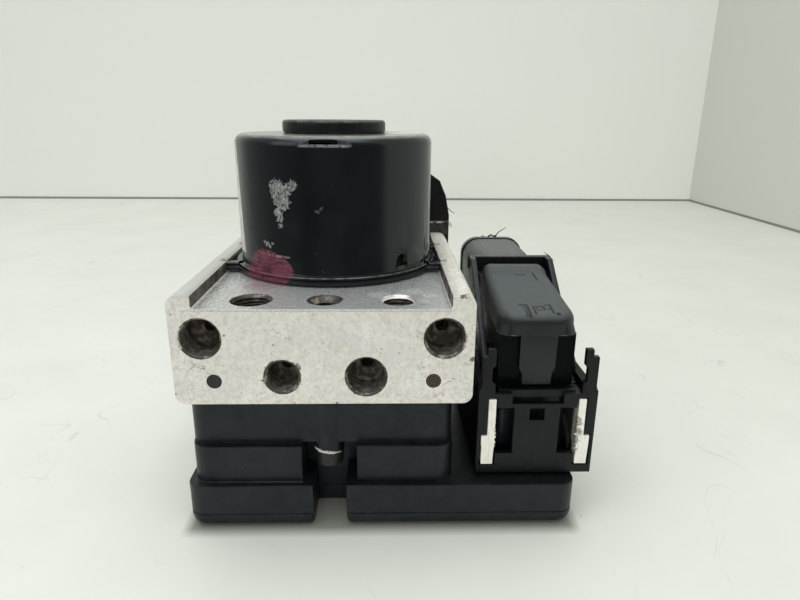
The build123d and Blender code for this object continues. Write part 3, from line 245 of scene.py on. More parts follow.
def carved(mesh, cutters):
    """Takes closed shapes out of a closed bmesh, which keeps its place."""
    whole = bpy.data.meshes.new("whole")
    mesh.to_mesh(whole)
    holder = bpy.data.objects.new("whole", whole)
    bpy.context.scene.collection.objects.link(holder)
    tools = []
    for cutter in cutters:
        tool_mesh = bpy.data.meshes.new("tool")
        bmesh.ops.recalc_face_normals(cutter, faces=cutter.faces)
        cutter.to_mesh(tool_mesh)
        cutter.free()
        tool = bpy.data.objects.new("tool", tool_mesh)
        bpy.context.scene.collection.objects.link(tool)
        cut = holder.modifiers.new("cut", "BOOLEAN")
        cut.operation = "DIFFERENCE"
        cut.solver = "EXACT"
        cut.object = tool
        tools.append(tool)
    bpy.context.view_layer.update()
    settled = holder.evaluated_get(bpy.context.evaluated_depsgraph_get()).to_mesh()
    mesh.clear()
    mesh.from_mesh(settled)
    for spent in [holder, *tools]:
        spent_mesh = spent.data
        bpy.data.objects.remove(spent)
        bpy.data.meshes.remove(spent_mesh)
    bmesh.ops.remove_doubles(mesh, verts=mesh.verts, dist=2e-6)


def clean_copy(node, cutters=()):
    """A bmesh of a node's form, less the given closed shapes, with its flat faces whole."""
    mesh = bmesh.new()
    mesh.from_mesh(frame["nodes"][node].data)
    bmesh.ops.remove_doubles(mesh, verts=mesh.verts, dist=2e-6)
    if cutters:
        carved(mesh, cutters)
    bmesh.ops.dissolve_limit(mesh, angle_limit=math.radians(0.4), verts=mesh.verts, edges=mesh.edges)
    return mesh


def softened(node, body, materials, width, chosen=None, segments=2, cutters=(), shortest=0.0):
    """A copy of a node's form whose hard edges, seen from outside, are broken by a small round."""
    mesh = clean_copy(node, cutters)
    hard = math.radians(35)
    tree = BVHTree.FromBMesh(mesh)
    edges = []
    for edge in mesh.edges:
        if len(edge.link_faces) != 2 or edge.calc_face_angle(0) < hard or edge.calc_length() < shortest * mm:
            continue
        if chosen is None:
            out = (edge.link_faces[0].normal + edge.link_faces[1].normal).normalized()
            middle = (edge.verts[0].co + edge.verts[1].co) / 2
            if tree.ray_cast(middle + out * 0.05 * mm, out)[0] is not None:
                continue
        elif not chosen(edge):
            continue
        edges.append(edge)
    bmesh.ops.bevel(mesh, geom=edges, offset=width * mm, offset_type="OFFSET", segments=segments,
                    profile=0.5, affect="EDGES", clamp_overlap=False)
    piece = new_piece(node + "_shell", mesh, body, materials)
    weighted = piece.modifiers.new("even_shading", "WEIGHTED_NORMAL")
    weighted.keep_sharp = True
    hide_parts(node)
    return piece


crimson = (0.125, 0.022, 0.040)


def paint_mask(f):
    """Where the crimson marking paint lies: a brushed dab over can foot, flange and block."""
    dome = f.near(spot(-19.7, 29.5, 32.6), 1.0, 0.07, (8.7, 12, 5.4))
    crown = f.near(spot(-20.6, 30.0, 35.2), 1.0, 0.08, (5.6, 12, 3.9))
    smear = f.near(spot(-19.8, 23.2, 29.0), 1.0, 0.25, (6.4, 4.6, 1.5))
    solid = f.maths("MAXIMUM", f.maths("MAXIMUM", dome, crown), f.maths("MULTIPLY", smear, 0.6))
    edge = f.between(f.noise(1.6, 3), 0.25, 0.5, 0.35, 1.0)
    brushed = f.between(f.noise(1.3, 4, stretch=(2.4, 2.4, 0.5)), 0.32, 0.66, 0.35, 1.0)
    return f.maths("MULTIPLY", solid, f.maths("MULTIPLY", brushed, edge))


def aluminium():
    """Etched aluminium with specks, pits and faint streaks, stained round the ports; a highlight is painted
    along the channel's front edge and shade is painted over the front face.
    """
    f = Finish("etched_aluminium", (0.70, 0.69, 0.63), 0.42, metallic=0.12)
    cloud = f.between(f.noise(14, 4), 0.35, 0.68)
    base = f.mix(cloud, (0.76, 0.735, 0.67), (0.90, 0.875, 0.80))
    grain = f.between(f.noise(0.9, 5, rough=0.7), 0.42, 0.66)
    base = f.mix(f.maths("MULTIPLY", grain, 0.6), base, (0.95, 0.93, 0.87))
    streak = f.between(f.noise(3.0, 3, stretch=(0.25, 4.0, 1.0)), 0.56, 0.74, 0.0, 0.30)
    base = f.mix(streak, base, (0.50, 0.47, 0.42))
    for size, thin, dark, patch in ((9.0, 0.0045, 0.75, 5.0), (4.5, 0.008, 0.60, 7.0),
                                    (2.2, 0.014, 0.50, 4.0)):
        away = f.maths_open("ABSOLUTE", f.maths_open("SUBTRACT", f.noise(size, 2), 0.5), 0.0)
        scratches = f.maths("MULTIPLY", f.between(away, thin * 0.4, thin, dark, 0.0),
                            f.between(f.noise(patch, 2), 0.50, 0.58))
        base = f.mix(scratches, base, (0.25, 0.22, 0.18))
    mottle = f.between(f.noise(1.5, 5, rough=0.8), 0.46, 0.66, 0.0, 0.62)
    base = f.mix(mottle, base, (0.50, 0.47, 0.40))
    cool = f.between(f.noise(11, 3), 0.52, 0.66, 0.0, 0.55)
    base = f.mix(cool, base, (0.66, 0.68, 0.68))
    flecks = f.maths("MULTIPLY", f.between(f.cells(1.9), 0.07, 0.16, 1.0, 0.0),
                     f.between(f.noise(2.6, 3), 0.54, 0.62))
    base = f.mix(f.maths("MULTIPLY", flecks, 0.8), base, (0.22, 0.19, 0.15))
    scrapes = f.dabs([(spot(-37.0, 0, 12.2), 1.5), (spot(-34.6, 0, 11.2), 1.6), (spot(-32.4, 0, 10.2), 1.2),
                      (spot(27.6, 0, 11.4), 1.4), (spot(28.2, 0, 9.2), 0.8), (spot(-29.6, 0, 14.6), 0.9),
                      (spot(27.5, 0, 21.4), 1.5), (spot(41.0, 0, 12.6), 1.2), (spot(-9.8, 0, 20.2), 1.2)],
                     0.8, 1.2, 0.9)
    scrapes = f.maths("MULTIPLY", scrapes, f.between(f.noise(0.7, 4, stretch=(1.4, 1, 0.7), rough=0.8),
                                                     0.50, 0.60))
    base = f.mix(f.maths("MULTIPLY", scrapes, 0.8), base, (0.14, 0.12, 0.09))
    weathered = f.maths("MULTIPLY", f.slab(0, -43.2, -36.6, 0.1),
                        f.between(f.place_along(2), up_at(32.0), up_at(32.7)))
    base = f.mix(weathered, base, (0.56, 0.57, 0.53))
    pits = f.between(f.cells(3.4), 0.05, 0.13, 1.0, 0.0)
    pits = f.maths("MULTIPLY", pits, f.between(f.noise(5.0, 2), 0.50, 0.60))
    base = f.mix(pits, base, (0.10, 0.09, 0.075))
    specks = f.between(f.cells(1.3), 0.06, 0.12, 1.0, 0.0)
    specks = f.maths("MULTIPLY", specks, f.between(f.noise(3.0, 2), 0.56, 0.62))
    base = f.mix(specks, base, (0.16, 0.14, 0.11))
    floor = f.maths("MULTIPLY", f.slab(2, up_at(28.4), up_at(29.1), 0.1), f.slab(0, -36.2, 36.2, 0.1))
    cutter_marks = f.between(f.noise(0.5, 3, stretch=(6.0, 0.7, 1.0)), 0.3, 0.7)
    base = f.mix(f.maths("MULTIPLY", floor, 0.94), base,
                 f.mix(cutter_marks, (0.40, 0.415, 0.43), (0.56, 0.575, 0.58)))
    slants = f.between(f.noise(0.8, 2, stretch=(0.45, 4.5, 1.0)), 0.50, 0.62)
    left_side = f.between(f.place_along(0), spot(-13, 0, 0).x / mm, spot(-27, 0, 0).x / mm, 0.0, 0.85)
    base = f.mix(f.maths("MULTIPLY", floor, f.maths("MULTIPLY", slants, left_side)), base,
                 (0.80, 0.79, 0.75))
    smudges = f.dabs([(spot(16.0, 14.0, 29.0), 3.2), (spot(25.5, 17.5, 29.0), 3.6),
                      (spot(30.5, 13.5, 29.0), 2.2),
                      (spot(22.5, 13.9, 29.0), 2.6), (spot(29.0, 8.0, 29.0), 1.6)], 1.8, 2.4, 0.9)
    smudges = f.maths("MULTIPLY", smudges, f.between(f.noise(0.8, 4, rough=0.75), 0.36, 0.62))
    base = f.mix(f.maths("MULTIPLY", floor, smudges), base, (0.84, 0.84, 0.80))
    # Painted highlight: a light line along the channel floor's front edge, where light catches the edge.
    channel_edge_highlight = f.maths("MULTIPLY", f.slab(2, up_at(28.55), up_at(29.1), 0.08),
                       f.slab(1, back_at(-0.5), back_at(0.35), 0.05))
    channel_edge_highlight = f.maths("MULTIPLY", channel_edge_highlight, f.slab(0, -36.3, 36.3, 0.1))
    base = f.mix(f.maths("MULTIPLY", channel_edge_highlight, 0.9), base, (0.88, 0.88, 0.83))
    wall = f.maths("MULTIPLY", f.maths("MAXIMUM", f.slab(0, -36.6, -36.1, 0.08),
                                       f.slab(0, 36.1, 36.6, 0.08)),
                   f.slab(2, up_at(29.15), up_at(32.6), 0.15))
    wall = f.maths("MULTIPLY", wall, f.between(f.noise(5, 4), 0.25, 0.6, 0.7, 1.0))
    wall = f.maths("MULTIPLY", wall, f.between(f.place_along(1), back_at(0.4), back_at(0.7)))
    base = f.mix(wall, base, (0.045, 0.042, 0.036))
    grime = f.dabs([(spot(-12, 0, 8.6), 5.2), (spot(-8.0, 0, 11.0), 1.2), (spot(-15.8, 0, 5.9), 1.0)], 1.5,
                   1.6, 0.8)
    stain = f.dabs([(spot(34.5, 0, 20.3), 6.0), (spot(12, 0, 8.6), 5.7), (spot(-34.5, 0, 20.3), 5.9)], 1.0,
                   0.9, 0.8)
    base = f.mix(f.maths("MULTIPLY", stain, 0.75), base, (0.20, 0.17, 0.13))
    base = f.mix(grime, base, (0.018, 0.015, 0.012))
    nick = f.dabs([(spot(38.9, 0.4, 32.6), 0.7), (spot(39.5, 1.2, 32.6), 0.6), (spot(40.4, 1.6, 32.6), 0.5),
                   (spot(40.0, 0.3, 32.4), 0.4), (spot(42.4, 0.2, 14.0), 0.7), (spot(3.5, 0, 0.3), 0.4)],
                  0.5, 0.5, 0.8)
    base = f.mix(nick, base, (0.03, 0.03, 0.028))
    paint = paint_mask(f)
    base = f.mix(f.maths("MULTIPLY", paint, 0.72), base,
                 f.mix(f.noise(1.2, 3), crimson, (0.24, 0.09, 0.10)))
    # Painted shade: the block's front face is darkened to offset the light it gets from the front fill lamp.
    front_face_shade = f.between(f.place_along(1), back_at(0.25), back_at(0.6), 0.36, 0.0)
    base = f.mix(front_face_shade, base, (0.28, 0.27, 0.24))
    f.colour(base)
    polished = f.mix_value(floor, 0.12, 0.42)
    f.shader_value("Metallic", f.mix_value(f.maths("MAXIMUM", paint, grime), polished, 0.0))
    f.roughness(f.mix_value(floor, f.between(f.noise(6.0, 4), 0.3, 0.7, 0.36, 0.55),
                            f.between(f.noise(1.2, 4), 0.3, 0.7, 0.22, 0.38)))
    f.bump(f.noise(0.7, 4, rough=0.7), 0.03)
    f.bump(f.maths("SUBTRACT", 1.0, pits), 0.12)
    return f.material


def port_steel(name, dark, bright, share):
    """Bare metal inside a port, most of it coated by old brown fluid."""
    f = Finish(name, bright, 0.3, metallic=0.75)
    film = f.between(f.noise(2.2, 4), share - 0.10, share + 0.10)
    f.colour(f.mix(film, bright, dark))
    f.shader_value("Metallic", f.between(film, 0.0, 1.0, 0.12, 0.0))
    f.roughness(f.between(film, 0.0, 1.0, 0.24, 0.36))
    f.bump(f.noise(0.8, 3), 0.03)
    return f.material


etched = aluminium()
greasy = port_steel("greasy_bore", (0.034, 0.028, 0.022), (0.15, 0.13, 0.11), 0.43)
crest_metal = port_steel("thread_crests", (0.30, 0.27, 0.23), (0.90, 0.85, 0.77), 0.64)
chamfer_film = port_steel("greasy_chamfer", (0.045, 0.038, 0.030), (0.34, 0.31, 0.27), 0.38)
seat_metal = port_steel("seat_metal", (0.34, 0.30, 0.25), (0.96, 0.93, 0.88), 0.56)
passage_film = port_steel("passage_film", (0.006, 0.005, 0.004), (0.03, 0.025, 0.02), 0.40)


def on_block_outline(edge):
    """True for the outer edges of the bar and its channel, and not for its drilled holes."""
    tolerance = 0.05 * mm
    first, second = (v.co for v in edge.verts)
    at_end = any(all(abs(p.y - face) < tolerance for p in (first, second))
                 for face in (block_low.y, block_high.y))
    on_rim = all(abs(abs(p.x) - block_high.x) < 3.2 * mm or p.z > block_high.z - 5.0 * mm
                 or p.z < block_low.z + tolerance for p in (first, second))
    lengthwise = abs(first.y - second.y) > 80 * mm
    return (at_end and on_rim) or lengthwise


block = softened("valve_block", "unit", (etched, greasy, chamfer_film), 0.3,
                 chosen=on_block_outline)
ports = [mount for mount in frame["record"]["mounts"] if mount["kind"] == "threaded_hole"]
chamfer, fixing_chamfer = 0.9, 1.9
seat_length, passage_radius, front_seat_lift = 2.6, 2.0, 1.7
pipe_pitch, fixing_pitch, smallest_pipe_radius = 1.0, 1.25, 4


def port_frame(port):
    """A port's outward axis, the outer end of its threaded wall, bore radius and length in mm."""
    out = Vector(port["axis"])
    radius, length = port["dims"]["r_mm"], port["dims"]["length_mm"]
    return out, Vector(port["pos_m"]) + out * length / 2 * mm, radius, length


def depths_and_reaches(face, mouth, out):
    """How deep each corner of a face lies in a port and how far from its axis, in mm."""
    depths, reaches = [], []
    for vertex in face.verts:
        offset = vertex.co - mouth
        depth = -offset.dot(out)
        depths.append(depth / mm)
        reaches.append((offset + out * depth).length / mm)
    return depths, reaches


def flank(phase):
    """How far a thread's flank stands outside the bore, as a share of its depth, before clipping."""
    return (0.5 - abs(phase - 0.5)) * 2.66 - 0.16


mesh = bmesh.new()
mesh.from_mesh(block.data)
bored = []
for port in ports:
    out, mouth, radius, length = port_frame(port)
    is_pipe = radius > smallest_pipe_radius
    floor_depth = length + (seat_length if is_pipe else 0)
    for face in mesh.faces:
        depths, reaches = depths_and_reaches(face, mouth, out)
        if max(reaches) > radius + 0.06:
            continue
        if min(depths) > -0.05 and max(depths) < floor_depth + 0.05 and min(reaches) > passage_radius - 0.06:
            bored.append(face)
        elif min(depths) > 0.5:
            face.material_index = 1
    if port["name"] == "roof_outlet_right":
        continue
    lead_in = chamfer if is_pipe else fixing_chamfer
    for face in mesh.faces:
        depths, reaches = depths_and_reaches(face, mouth, out)
        at_mouth = max(reaches) < radius + lead_in + 0.1 and min(depths) > -lead_in - 0.05
        if at_mouth and max(depths) < 0.05 and max(depths) - min(depths) > 0.3:
            face.material_index = 2
bmesh.ops.delete(mesh, geom=list(set(bored)), context="FACES")
mesh.to_mesh(block.data)
mesh.free()

columns = 72
mesh = bmesh.new()
for port in ports:
    out, mouth, radius, length = port_frame(port)
    is_pipe = radius > smallest_pipe_radius
    pitch = pipe_pitch if is_pipe else fixing_pitch
    side = out.orthogonal().normalized()
    up = out.cross(side)
    seat_depth = length - front_seat_lift if abs(out.y) > 0.5 else length
    rows = int(seat_depth / pitch * 8)
    stations = []
    for row in range(rows + 1):
        sunk = seat_depth * row / rows
        fade = max(0.0, min(1.0, sunk / (0.6 * pitch), (seat_depth - sunk) / (1.5 * pitch)))
        stations.append((sunk, fade, None))
    if is_pipe:
        for share in (0.12, 0.4, 0.7, 1.0):
            stations.append((seat_depth + seat_length * share, 0.0,
                             radius + (passage_radius - radius) * share))
        stations.append((length + seat_length, 0.0, passage_radius))
    rings = []
    for sunk, fade, fixed in stations:
        ring = []
        for column in range(columns):
            turn = column / columns
            phase = (sunk / pitch - turn) % 1
            tooth = min(1.0, max(0.0, flank(phase)))
            reach = fixed or radius + 0.54 * pitch * tooth * fade
            angle = math.tau * turn
            ring.append(mesh.verts.new(mouth - out * sunk * mm
                                       + (side * math.cos(angle) + up * math.sin(angle)) * reach * mm))
        rings.append(ring)
    for index, (near_ring, far_ring) in enumerate(zip(rings, rings[1:])):
        for column in range(columns):
            after = (column + 1) % columns
            face = mesh.faces.new((near_ring[column], near_ring[after], far_ring[after], far_ring[column]))
            halfway = (stations[index][0] + stations[index + 1][0]) / 2
            on_crest = flank((halfway / pitch - (column + 0.5) / columns) % 1) < 0.30
            face.material_index = 2 if index > rows + 3 else 1 if index >= rows else 3 if on_crest else 0
            if face.normal.length == 0:
                face.normal_update()
new_piece("port_threads", mesh, "unit", (greasy, seat_metal, passage_film, crest_metal), 40,
          outward=False)

# ---- Gallery plugs, end caps and screws ----------------------------------------------------------
# Soft steel plugs pressed into the drilled galleries, turned end caps staked over the pump bores and
# accumulators, and the plated screws that hold the control unit. Left plain, oiled and a bit dull.


def plated_steel():
    """Dark oiled steel; the right gallery plug has lost its coat and shows turning rings."""
    f = Finish("plated_steel", (0.30, 0.29, 0.27), 0.4, metallic=0.8)
    base = f.mix(f.between(f.noise(2.5, 3), 0.35, 0.65), (0.20, 0.195, 0.18), (0.36, 0.35, 0.32))
    left_plug = f.near(spot(-31.4, 2.0, 7.3), 4.5, 0.2)
    right_plug = f.near(spot(31.4, 2.0, 7.3), 4.5, 0.2)
    base = f.mix(left_plug, base, (0.008, 0.008, 0.009))
    reach = f.vector_maths("LENGTH", f.vector_maths(
        "MULTIPLY", f.vector_maths("SUBTRACT", f.place, tuple(spot(31.4, 0, 7.3) / mm)), (1, 0, 1)))
    rings = f.between(f.maths("SINE", f.maths_open("MULTIPLY", reach, 8.5)), -0.2, 0.5)
    base = f.mix(right_plug, base, f.mix(rings, (0.040, 0.030, 0.022), (0.095, 0.075, 0.055)))
    screws = f.between(f.place_along(2), up_at(-10.0), up_at(-9.0), 1.0, 0.0)
    base = f.mix(screws, base, (0.010, 0.010, 0.010))
    f.colour(base)
    f.shader_value("Metallic", f.between(f.maths("MAXIMUM", left_plug, screws), 0.0, 1.0, 0.7, 0.0))
    f.roughness(f.between(f.noise(1.5, 3), 0.3, 0.7, 0.3, 0.5))
    return f.material


steel_coat = plated_steel()
for node in ("gallery_plugs", "pump_end_caps", "accumulator_caps", "fixing_screws", "bracket_bolt"):
    dress(frame["nodes"][node], steel_coat)

# ---- Pump motor ----------------------------------------------------------------------------------
# A deep-drawn steel can dipped in semi-gloss black, crimped to a shield plate whose ears spring into
# the block's rails. Its front shows a rubbed patch and a dab of crimson marking paint at the foot.
vent_middle = 22.95


def dip_coat():
    """Semi-gloss black over steel with the rubbed patch, dirt and marking paint; highlights are painted on
    its lip, pressed notch and paint dab, and its top is lightened by dust and a painted reflection.
    """
    f = Finish("black_dip_coat", (0.004, 0.0045, 0.005), 0.22, specular=0.55, gloss_tint=(0.88, 0.96, 1.0))
    base = f.mix(f.between(f.noise(9, 3), 0.35, 0.7), (0.0030, 0.0034, 0.0042), (0.0060, 0.0068, 0.0075))
    scuff = f.dabs([(spot(-15.6, 26.9, 58.6), 3.0), (spot(-10.6, 24.9, 59.9), 1.6),
                    (spot(-12.6, 25.6, 58.6), 2.0), (spot(-13.9, 26.1, 54.9), 2.9),
                    (spot(-15.3, 26.9, 51.6), 1.7), (spot(-15.2, 26.8, 49.6), 1.2),
                    (spot(-14.9, 26.7, 47.6), 0.8)],
                   1.3, 1.1, 0.95)
    fibres = f.between(f.noise(0.5, 4, stretch=(1, 1, 2.2), rough=0.75), 0.36, 0.62)
    strands = None
    for size, lean in ((1.5, (1, 1, 1)), (0.9, (1.6, 1.6, 0.8)), (1.1, (0.7, 0.7, 1.6))):
        away = f.maths_open("ABSOLUTE", f.maths_open("SUBTRACT", f.noise(size, 1, stretch=lean), 0.5), 0.0)
        line = f.between(away, 0.02, 0.055, 1.0, 0.0)
        strands = line if strands is None else f.maths("MAXIMUM", strands, line)
    ragged_edge = f.between(f.noise(0.8, 4, rough=0.8), 0.42, 0.58)
    scuff = f.maths("MULTIPLY", scuff, f.maths("MAXIMUM", strands, f.maths("MULTIPLY", ragged_edge, 0.35)))
    scuff_colour = f.mix(fibres, (0.07, 0.073, 0.070), (0.38, 0.39, 0.37))
    base = f.mix(scuff, base, scuff_colour)
    specks = f.between(f.cells(2.6), 0.03, 0.07, 1.0, 0.0)
    specks = f.maths("MULTIPLY", specks, f.between(f.noise(7, 2), 0.54, 0.6))
    base = f.mix(specks, base, (0.12, 0.12, 0.11))
    dirt = f.dabs([(spot(27.7, 37.9, 38.1), 1.8), (spot(29.0, 39.8, 36.0), 1.2)], 2.0, 1.0, 0.9)
    base = f.mix(f.maths("MULTIPLY", dirt, 0.35), base, (0.05, 0.046, 0.040))
    nick = f.dabs([(spot(-3.4, 23.3, 52.4), 0.35), (spot(-2.7, 23.2, 52.2), 0.4),
                   (spot(-2.0, 23.2, 53.0), 0.35), (spot(-1.6, 23.1, 53.6), 0.25)], 0.4, 0.4, 0.7)
    base = f.mix(f.maths("MULTIPLY", nick, 0.18), base, (0.25, 0.25, 0.24))
    scratch = f.dabs([(spot(-19.8, 29.6, 41.2), 0.8), (spot(-20.8, 30.3, 41.8), 0.5),
                      (spot(-18.8, 28.9, 40.6), 0.6), (spot(-17.9, 28.4, 41.5), 0.4)], 0.5, 0.5, 0.8)
    base = f.mix(f.maths("MULTIPLY", scratch, f.maths("MULTIPLY", strands, 0.6)), base, (0.45, 0.45, 0.42))
    vent_glow = f.near(spot(vent_middle, 32.2, 33.0), 1.0, 0.9, (1.8, 1, 0.4))
    base = f.mix(f.maths("MULTIPLY", vent_glow, 0.5), base, (0.10, 0.10, 0.095))
    from_axis = f.vector_maths("LENGTH", f.vector_maths("MULTIPLY", f.place, (1, 1, 0)))
    # Painted highlight: a light, broken line along the top of the can's lip.
    lip_highlight = f.maths("MULTIPLY", f.slab(2, up_at(31.78), up_at(32.1), 0.08),
                       f.between(from_axis, 34.7, 34.9))
    base = f.mix(f.maths("MULTIPLY", lip_highlight, f.between(f.noise(4, 3), 0.35, 0.55)), base,
                 (0.10, 0.10, 0.095))
    # The can's top face is lightened: partly dust, partly a painted reflection of the wall at grazing angles.
    top_dust_and_reflection = f.maths("MULTIPLY", f.between(f.place_along(2), up_at(73.3), up_at(74.25)),
                        f.between(f.noise(5, 4), 0.3, 0.7, 0.45, 0.95))
    base = f.mix(top_dust_and_reflection, base, (0.30, 0.305, 0.29))
    # Round the pressed notch the black is lightened to grey: partly worn coat, partly a painted highlight on
    # its edges.
    pressed = f.maths("MULTIPLY", f.slab(2, up_at(71.2), up_at(74.4), 0.3), f.slab(0, -7.4, 6.6, 1.2))
    pressed = f.maths("MULTIPLY", pressed, f.slab(1, back_at(22.5), back_at(24.35), 0.2))
    base = f.mix(f.maths("MULTIPLY", pressed, f.between(f.noise(0.9, 4), 0.3, 0.7, 0.2, 0.9)), base,
                 (0.045, 0.05, 0.053))
    # Painted highlight: a light line along the pressed notch's lower rim.
    low_rim_highlight = f.maths("MULTIPLY", pressed, f.slab(2, up_at(71.3), up_at(71.9), 0.1))
    base = f.mix(f.maths("MULTIPLY", low_rim_highlight, f.between(f.noise(0.8, 3), 0.35, 0.6)), base,
                 (0.22, 0.23, 0.24))
    paint = paint_mask(f)
    brushed = f.noise(0.8, 3, stretch=(2.2, 2.2, 0.6))
    base = f.mix(paint, base, f.mix(f.between(brushed, 0.35, 0.7), crimson, (0.20, 0.050, 0.072)))
    # Painted highlight: a pinkish light streak along the upper edge of the paint dab.
    paint_edge_highlight = f.maths("MULTIPLY", f.near(spot(-17.2, 27.5, 37.6), 1.0, 0.25, (5.2, 6, 0.4)),
                   f.between(f.noise(1.2, 3), 0.40, 0.60))
    base = f.mix(f.maths("MULTIPLY", paint_edge_highlight, 0.6), base, (0.34, 0.20, 0.22))
    f.colour(base)
    f.roughness(f.mix_value(scuff, f.between(paint, 0.0, 1.0, 0.21, 0.32), 0.7))
    f.bump(f.noise(5, 2), 0.05)
    f.bump(f.noise(0.6, 3, rough=0.7), 0.008)
    f.bump(f.maths("MULTIPLY", scuff, fibres), 0.06)
    f.bump(f.maths("MULTIPLY", paint, brushed), 0.12)
    return f.material


dip_black = dip_coat()


def prism(points, low, high, axis="z"):
    """A closed bmesh from an outline, drawn along an axis between two places in metres."""
    shape = bmesh.new()
    ends = []
    for level in (low, high):
        ends.append([shape.verts.new(Vector((p[0], p[1], level)) if axis == "z"
                                     else Vector((p[0], level, p[1])))
                     for p in points])
    shape.faces.new(ends[0])
    shape.faces.new(list(reversed(ends[1])))
    for index in range(len(points)):
        after = (index + 1) % len(points)
        shape.faces.new((ends[0][index], ends[0][after], ends[1][after], ends[1][index]))
    return shape


axis_back = 56.5


def turned(profile, columns=180):
    """A closed bmesh turned about the motor's axis from a closed outline of (radius, height) in mm."""
    shape = bmesh.new()
    rings = [[shape.verts.new(spot(reach * math.cos(a), axis_back + reach * math.sin(a), up))
              for a in (i * math.tau / columns for i in range(columns))] for reach, up in profile]
    for index, ring in enumerate(rings):
        after_ring = rings[(index + 1) % len(rings)]
        for column in range(columns):
            after = (column + 1) % columns
            shape.faces.new((ring[column], ring[after], after_ring[after], after_ring[column]))
    bmesh.ops.remove_doubles(shape, verts=shape.verts, dist=2e-6)
    bmesh.ops.recalc_face_normals(shape, faces=shape.faces)
    return shape


def front_outline(points):
    """Points given as (across, up) in layout millimetres, in metres in the part's frame."""
    return [(spot(x, 0, z).x, spot(x, 0, z).z) for x, z in points]


def front_cutter(points, front, rear):
    return prism(front_outline(points), spot(0, front, 0).y, spot(0, rear, 0).y, "y")


flat_face = front_cutter([(-5.4, 71.4), (3.8, 71.4), (4.9, 72.4), (7.2, 73.5), (8.2, 75.5), (-8.6, 75.5),
                          (-7.6, 73.5), (-6.4, 72.4)], 20.0, 24.1)
slit = front_cutter([(-4.8, 71.95), (3.1, 71.95), (3.6, 72.6), (3.0, 73.35), (-4.7, 73.35), (-5.2, 72.6)],
                    20.0, 26.8)
vent_arch = front_cutter([(vent_middle - 1.75, 33.5), (vent_middle + 1.75, 33.5)]
                         + [(vent_middle + 1.75 * math.cos(a), 35.7 + 1.7 * math.sin(a))
                            for a in (i * math.pi / 14 for i in range(15))], 29.0, 35.5)
ear_gaps = []
for side in (-1, 1):
    for offset in (-13.5, 13.5):
        gap = [spot(side * across, axis_back + offset + back, 0)
               for across, back in ((30.75, -1.9), (36.3, -1.9), (36.3, 1.9), (30.75, 1.9))]
        ear_gaps.append(prism([(p.x, p.y) for p in gap], spot(0, 0, 30).z, spot(0, 0, 32.5).z))
rim_round = [(30.4 + 3.0 * math.cos(a), 71.3 + 3.0 * math.sin(a))
             for a in (i * math.pi / 16 for i in range(9))]
lip_outline = [(35.1, 31.0), (35.3, 31.2), (35.3, 31.8), (35.1, 32.0), (33.9, 32.0), (33.55, 32.15),
               (33.4, 32.5)]
cup_outline = [(11.1, 74.3), (11.1, 77.4), (0, 77.4), (0, 76.0), (9.5, 76.0), (9.5, 72.5), (31.6, 72.5),
               (31.6, 31.0)]
can_mesh = turned(lip_outline + rim_round + cup_outline)
carved(can_mesh, [flat_face, slit, vent_arch, *ear_gaps])
softened("motor_end_shield", "unit", (dip_black,), 0.22, shortest=0.5)
can = new_piece("motor_can_shell", can_mesh, "unit", (dip_black,), 35)
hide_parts("motor_can")

# ---- Motor end cap -------------------------------------------------------------------------------
# A moulded black cap pressed over the can's bearing cup. Dust has settled along its upper edge and
# where it meets the can.


def cap_plastic():
    """Matt black moulding with a grey dusty rim."""
    f = Finish("dusty_cap", (0.005, 0.0055, 0.006), 0.42, specular=0.32)
    base = f.mix(f.between(f.noise(3, 4), 0.35, 0.7), (0.0035, 0.0038, 0.0042), (0.0075, 0.008, 0.0085))
    rim = f.maths("MULTIPLY", f.between(f.place_along(2), up_at(77.7), up_at(78.5)),
                  f.between(f.noise(1.4, 4), 0.3, 0.7))
    base = f.mix(rim, base, (0.17, 0.175, 0.165))
    foot = f.maths("MULTIPLY", f.slab(2, up_at(74.0), up_at(74.7), 0.3),
                   f.between(f.noise(1.2, 4), 0.4, 0.7))
    base = f.mix(f.maths("MULTIPLY", foot, 0.5), base, (0.13, 0.13, 0.12))
    f.colour(base)
    f.roughness(f.between(rim, 0.0, 1.0, 0.38, 0.75))
    f.bump(f.noise(0.5, 3), 0.01)
    return f.material


cap_mesh = turned([(11.12, 74.32), (16.5, 74.32), (17.1, 74.55), (17.4, 75.0), (17.5, 75.6), (17.5, 77.5),
                   (17.38, 78.0), (17.05, 78.4), (16.5, 78.6), (0, 78.6), (0, 77.42), (11.12, 77.42)])
end_cap = new_piece("motor_end_cap_shell", cap_mesh, "unit", (cap_plastic(),), 40)
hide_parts("motor_end_cap")

# ---- Label and sticker ---------------------------------------------------------------------------
# A paper label wrapped round the can's left and rear, and an oval sticker on its top. Both are
# self-adhesive, off-white and bare.


def paper():
    f = Finish("bare_paper", (0.62, 0.62, 0.57), 0.6)
    f.colour(f.mix(f.between(f.noise(4, 4), 0.3, 0.7), (0.50, 0.50, 0.46), (0.66, 0.66, 0.61)))
    f.bump(f.noise(0.8, 3), 0.01)
    return f.material


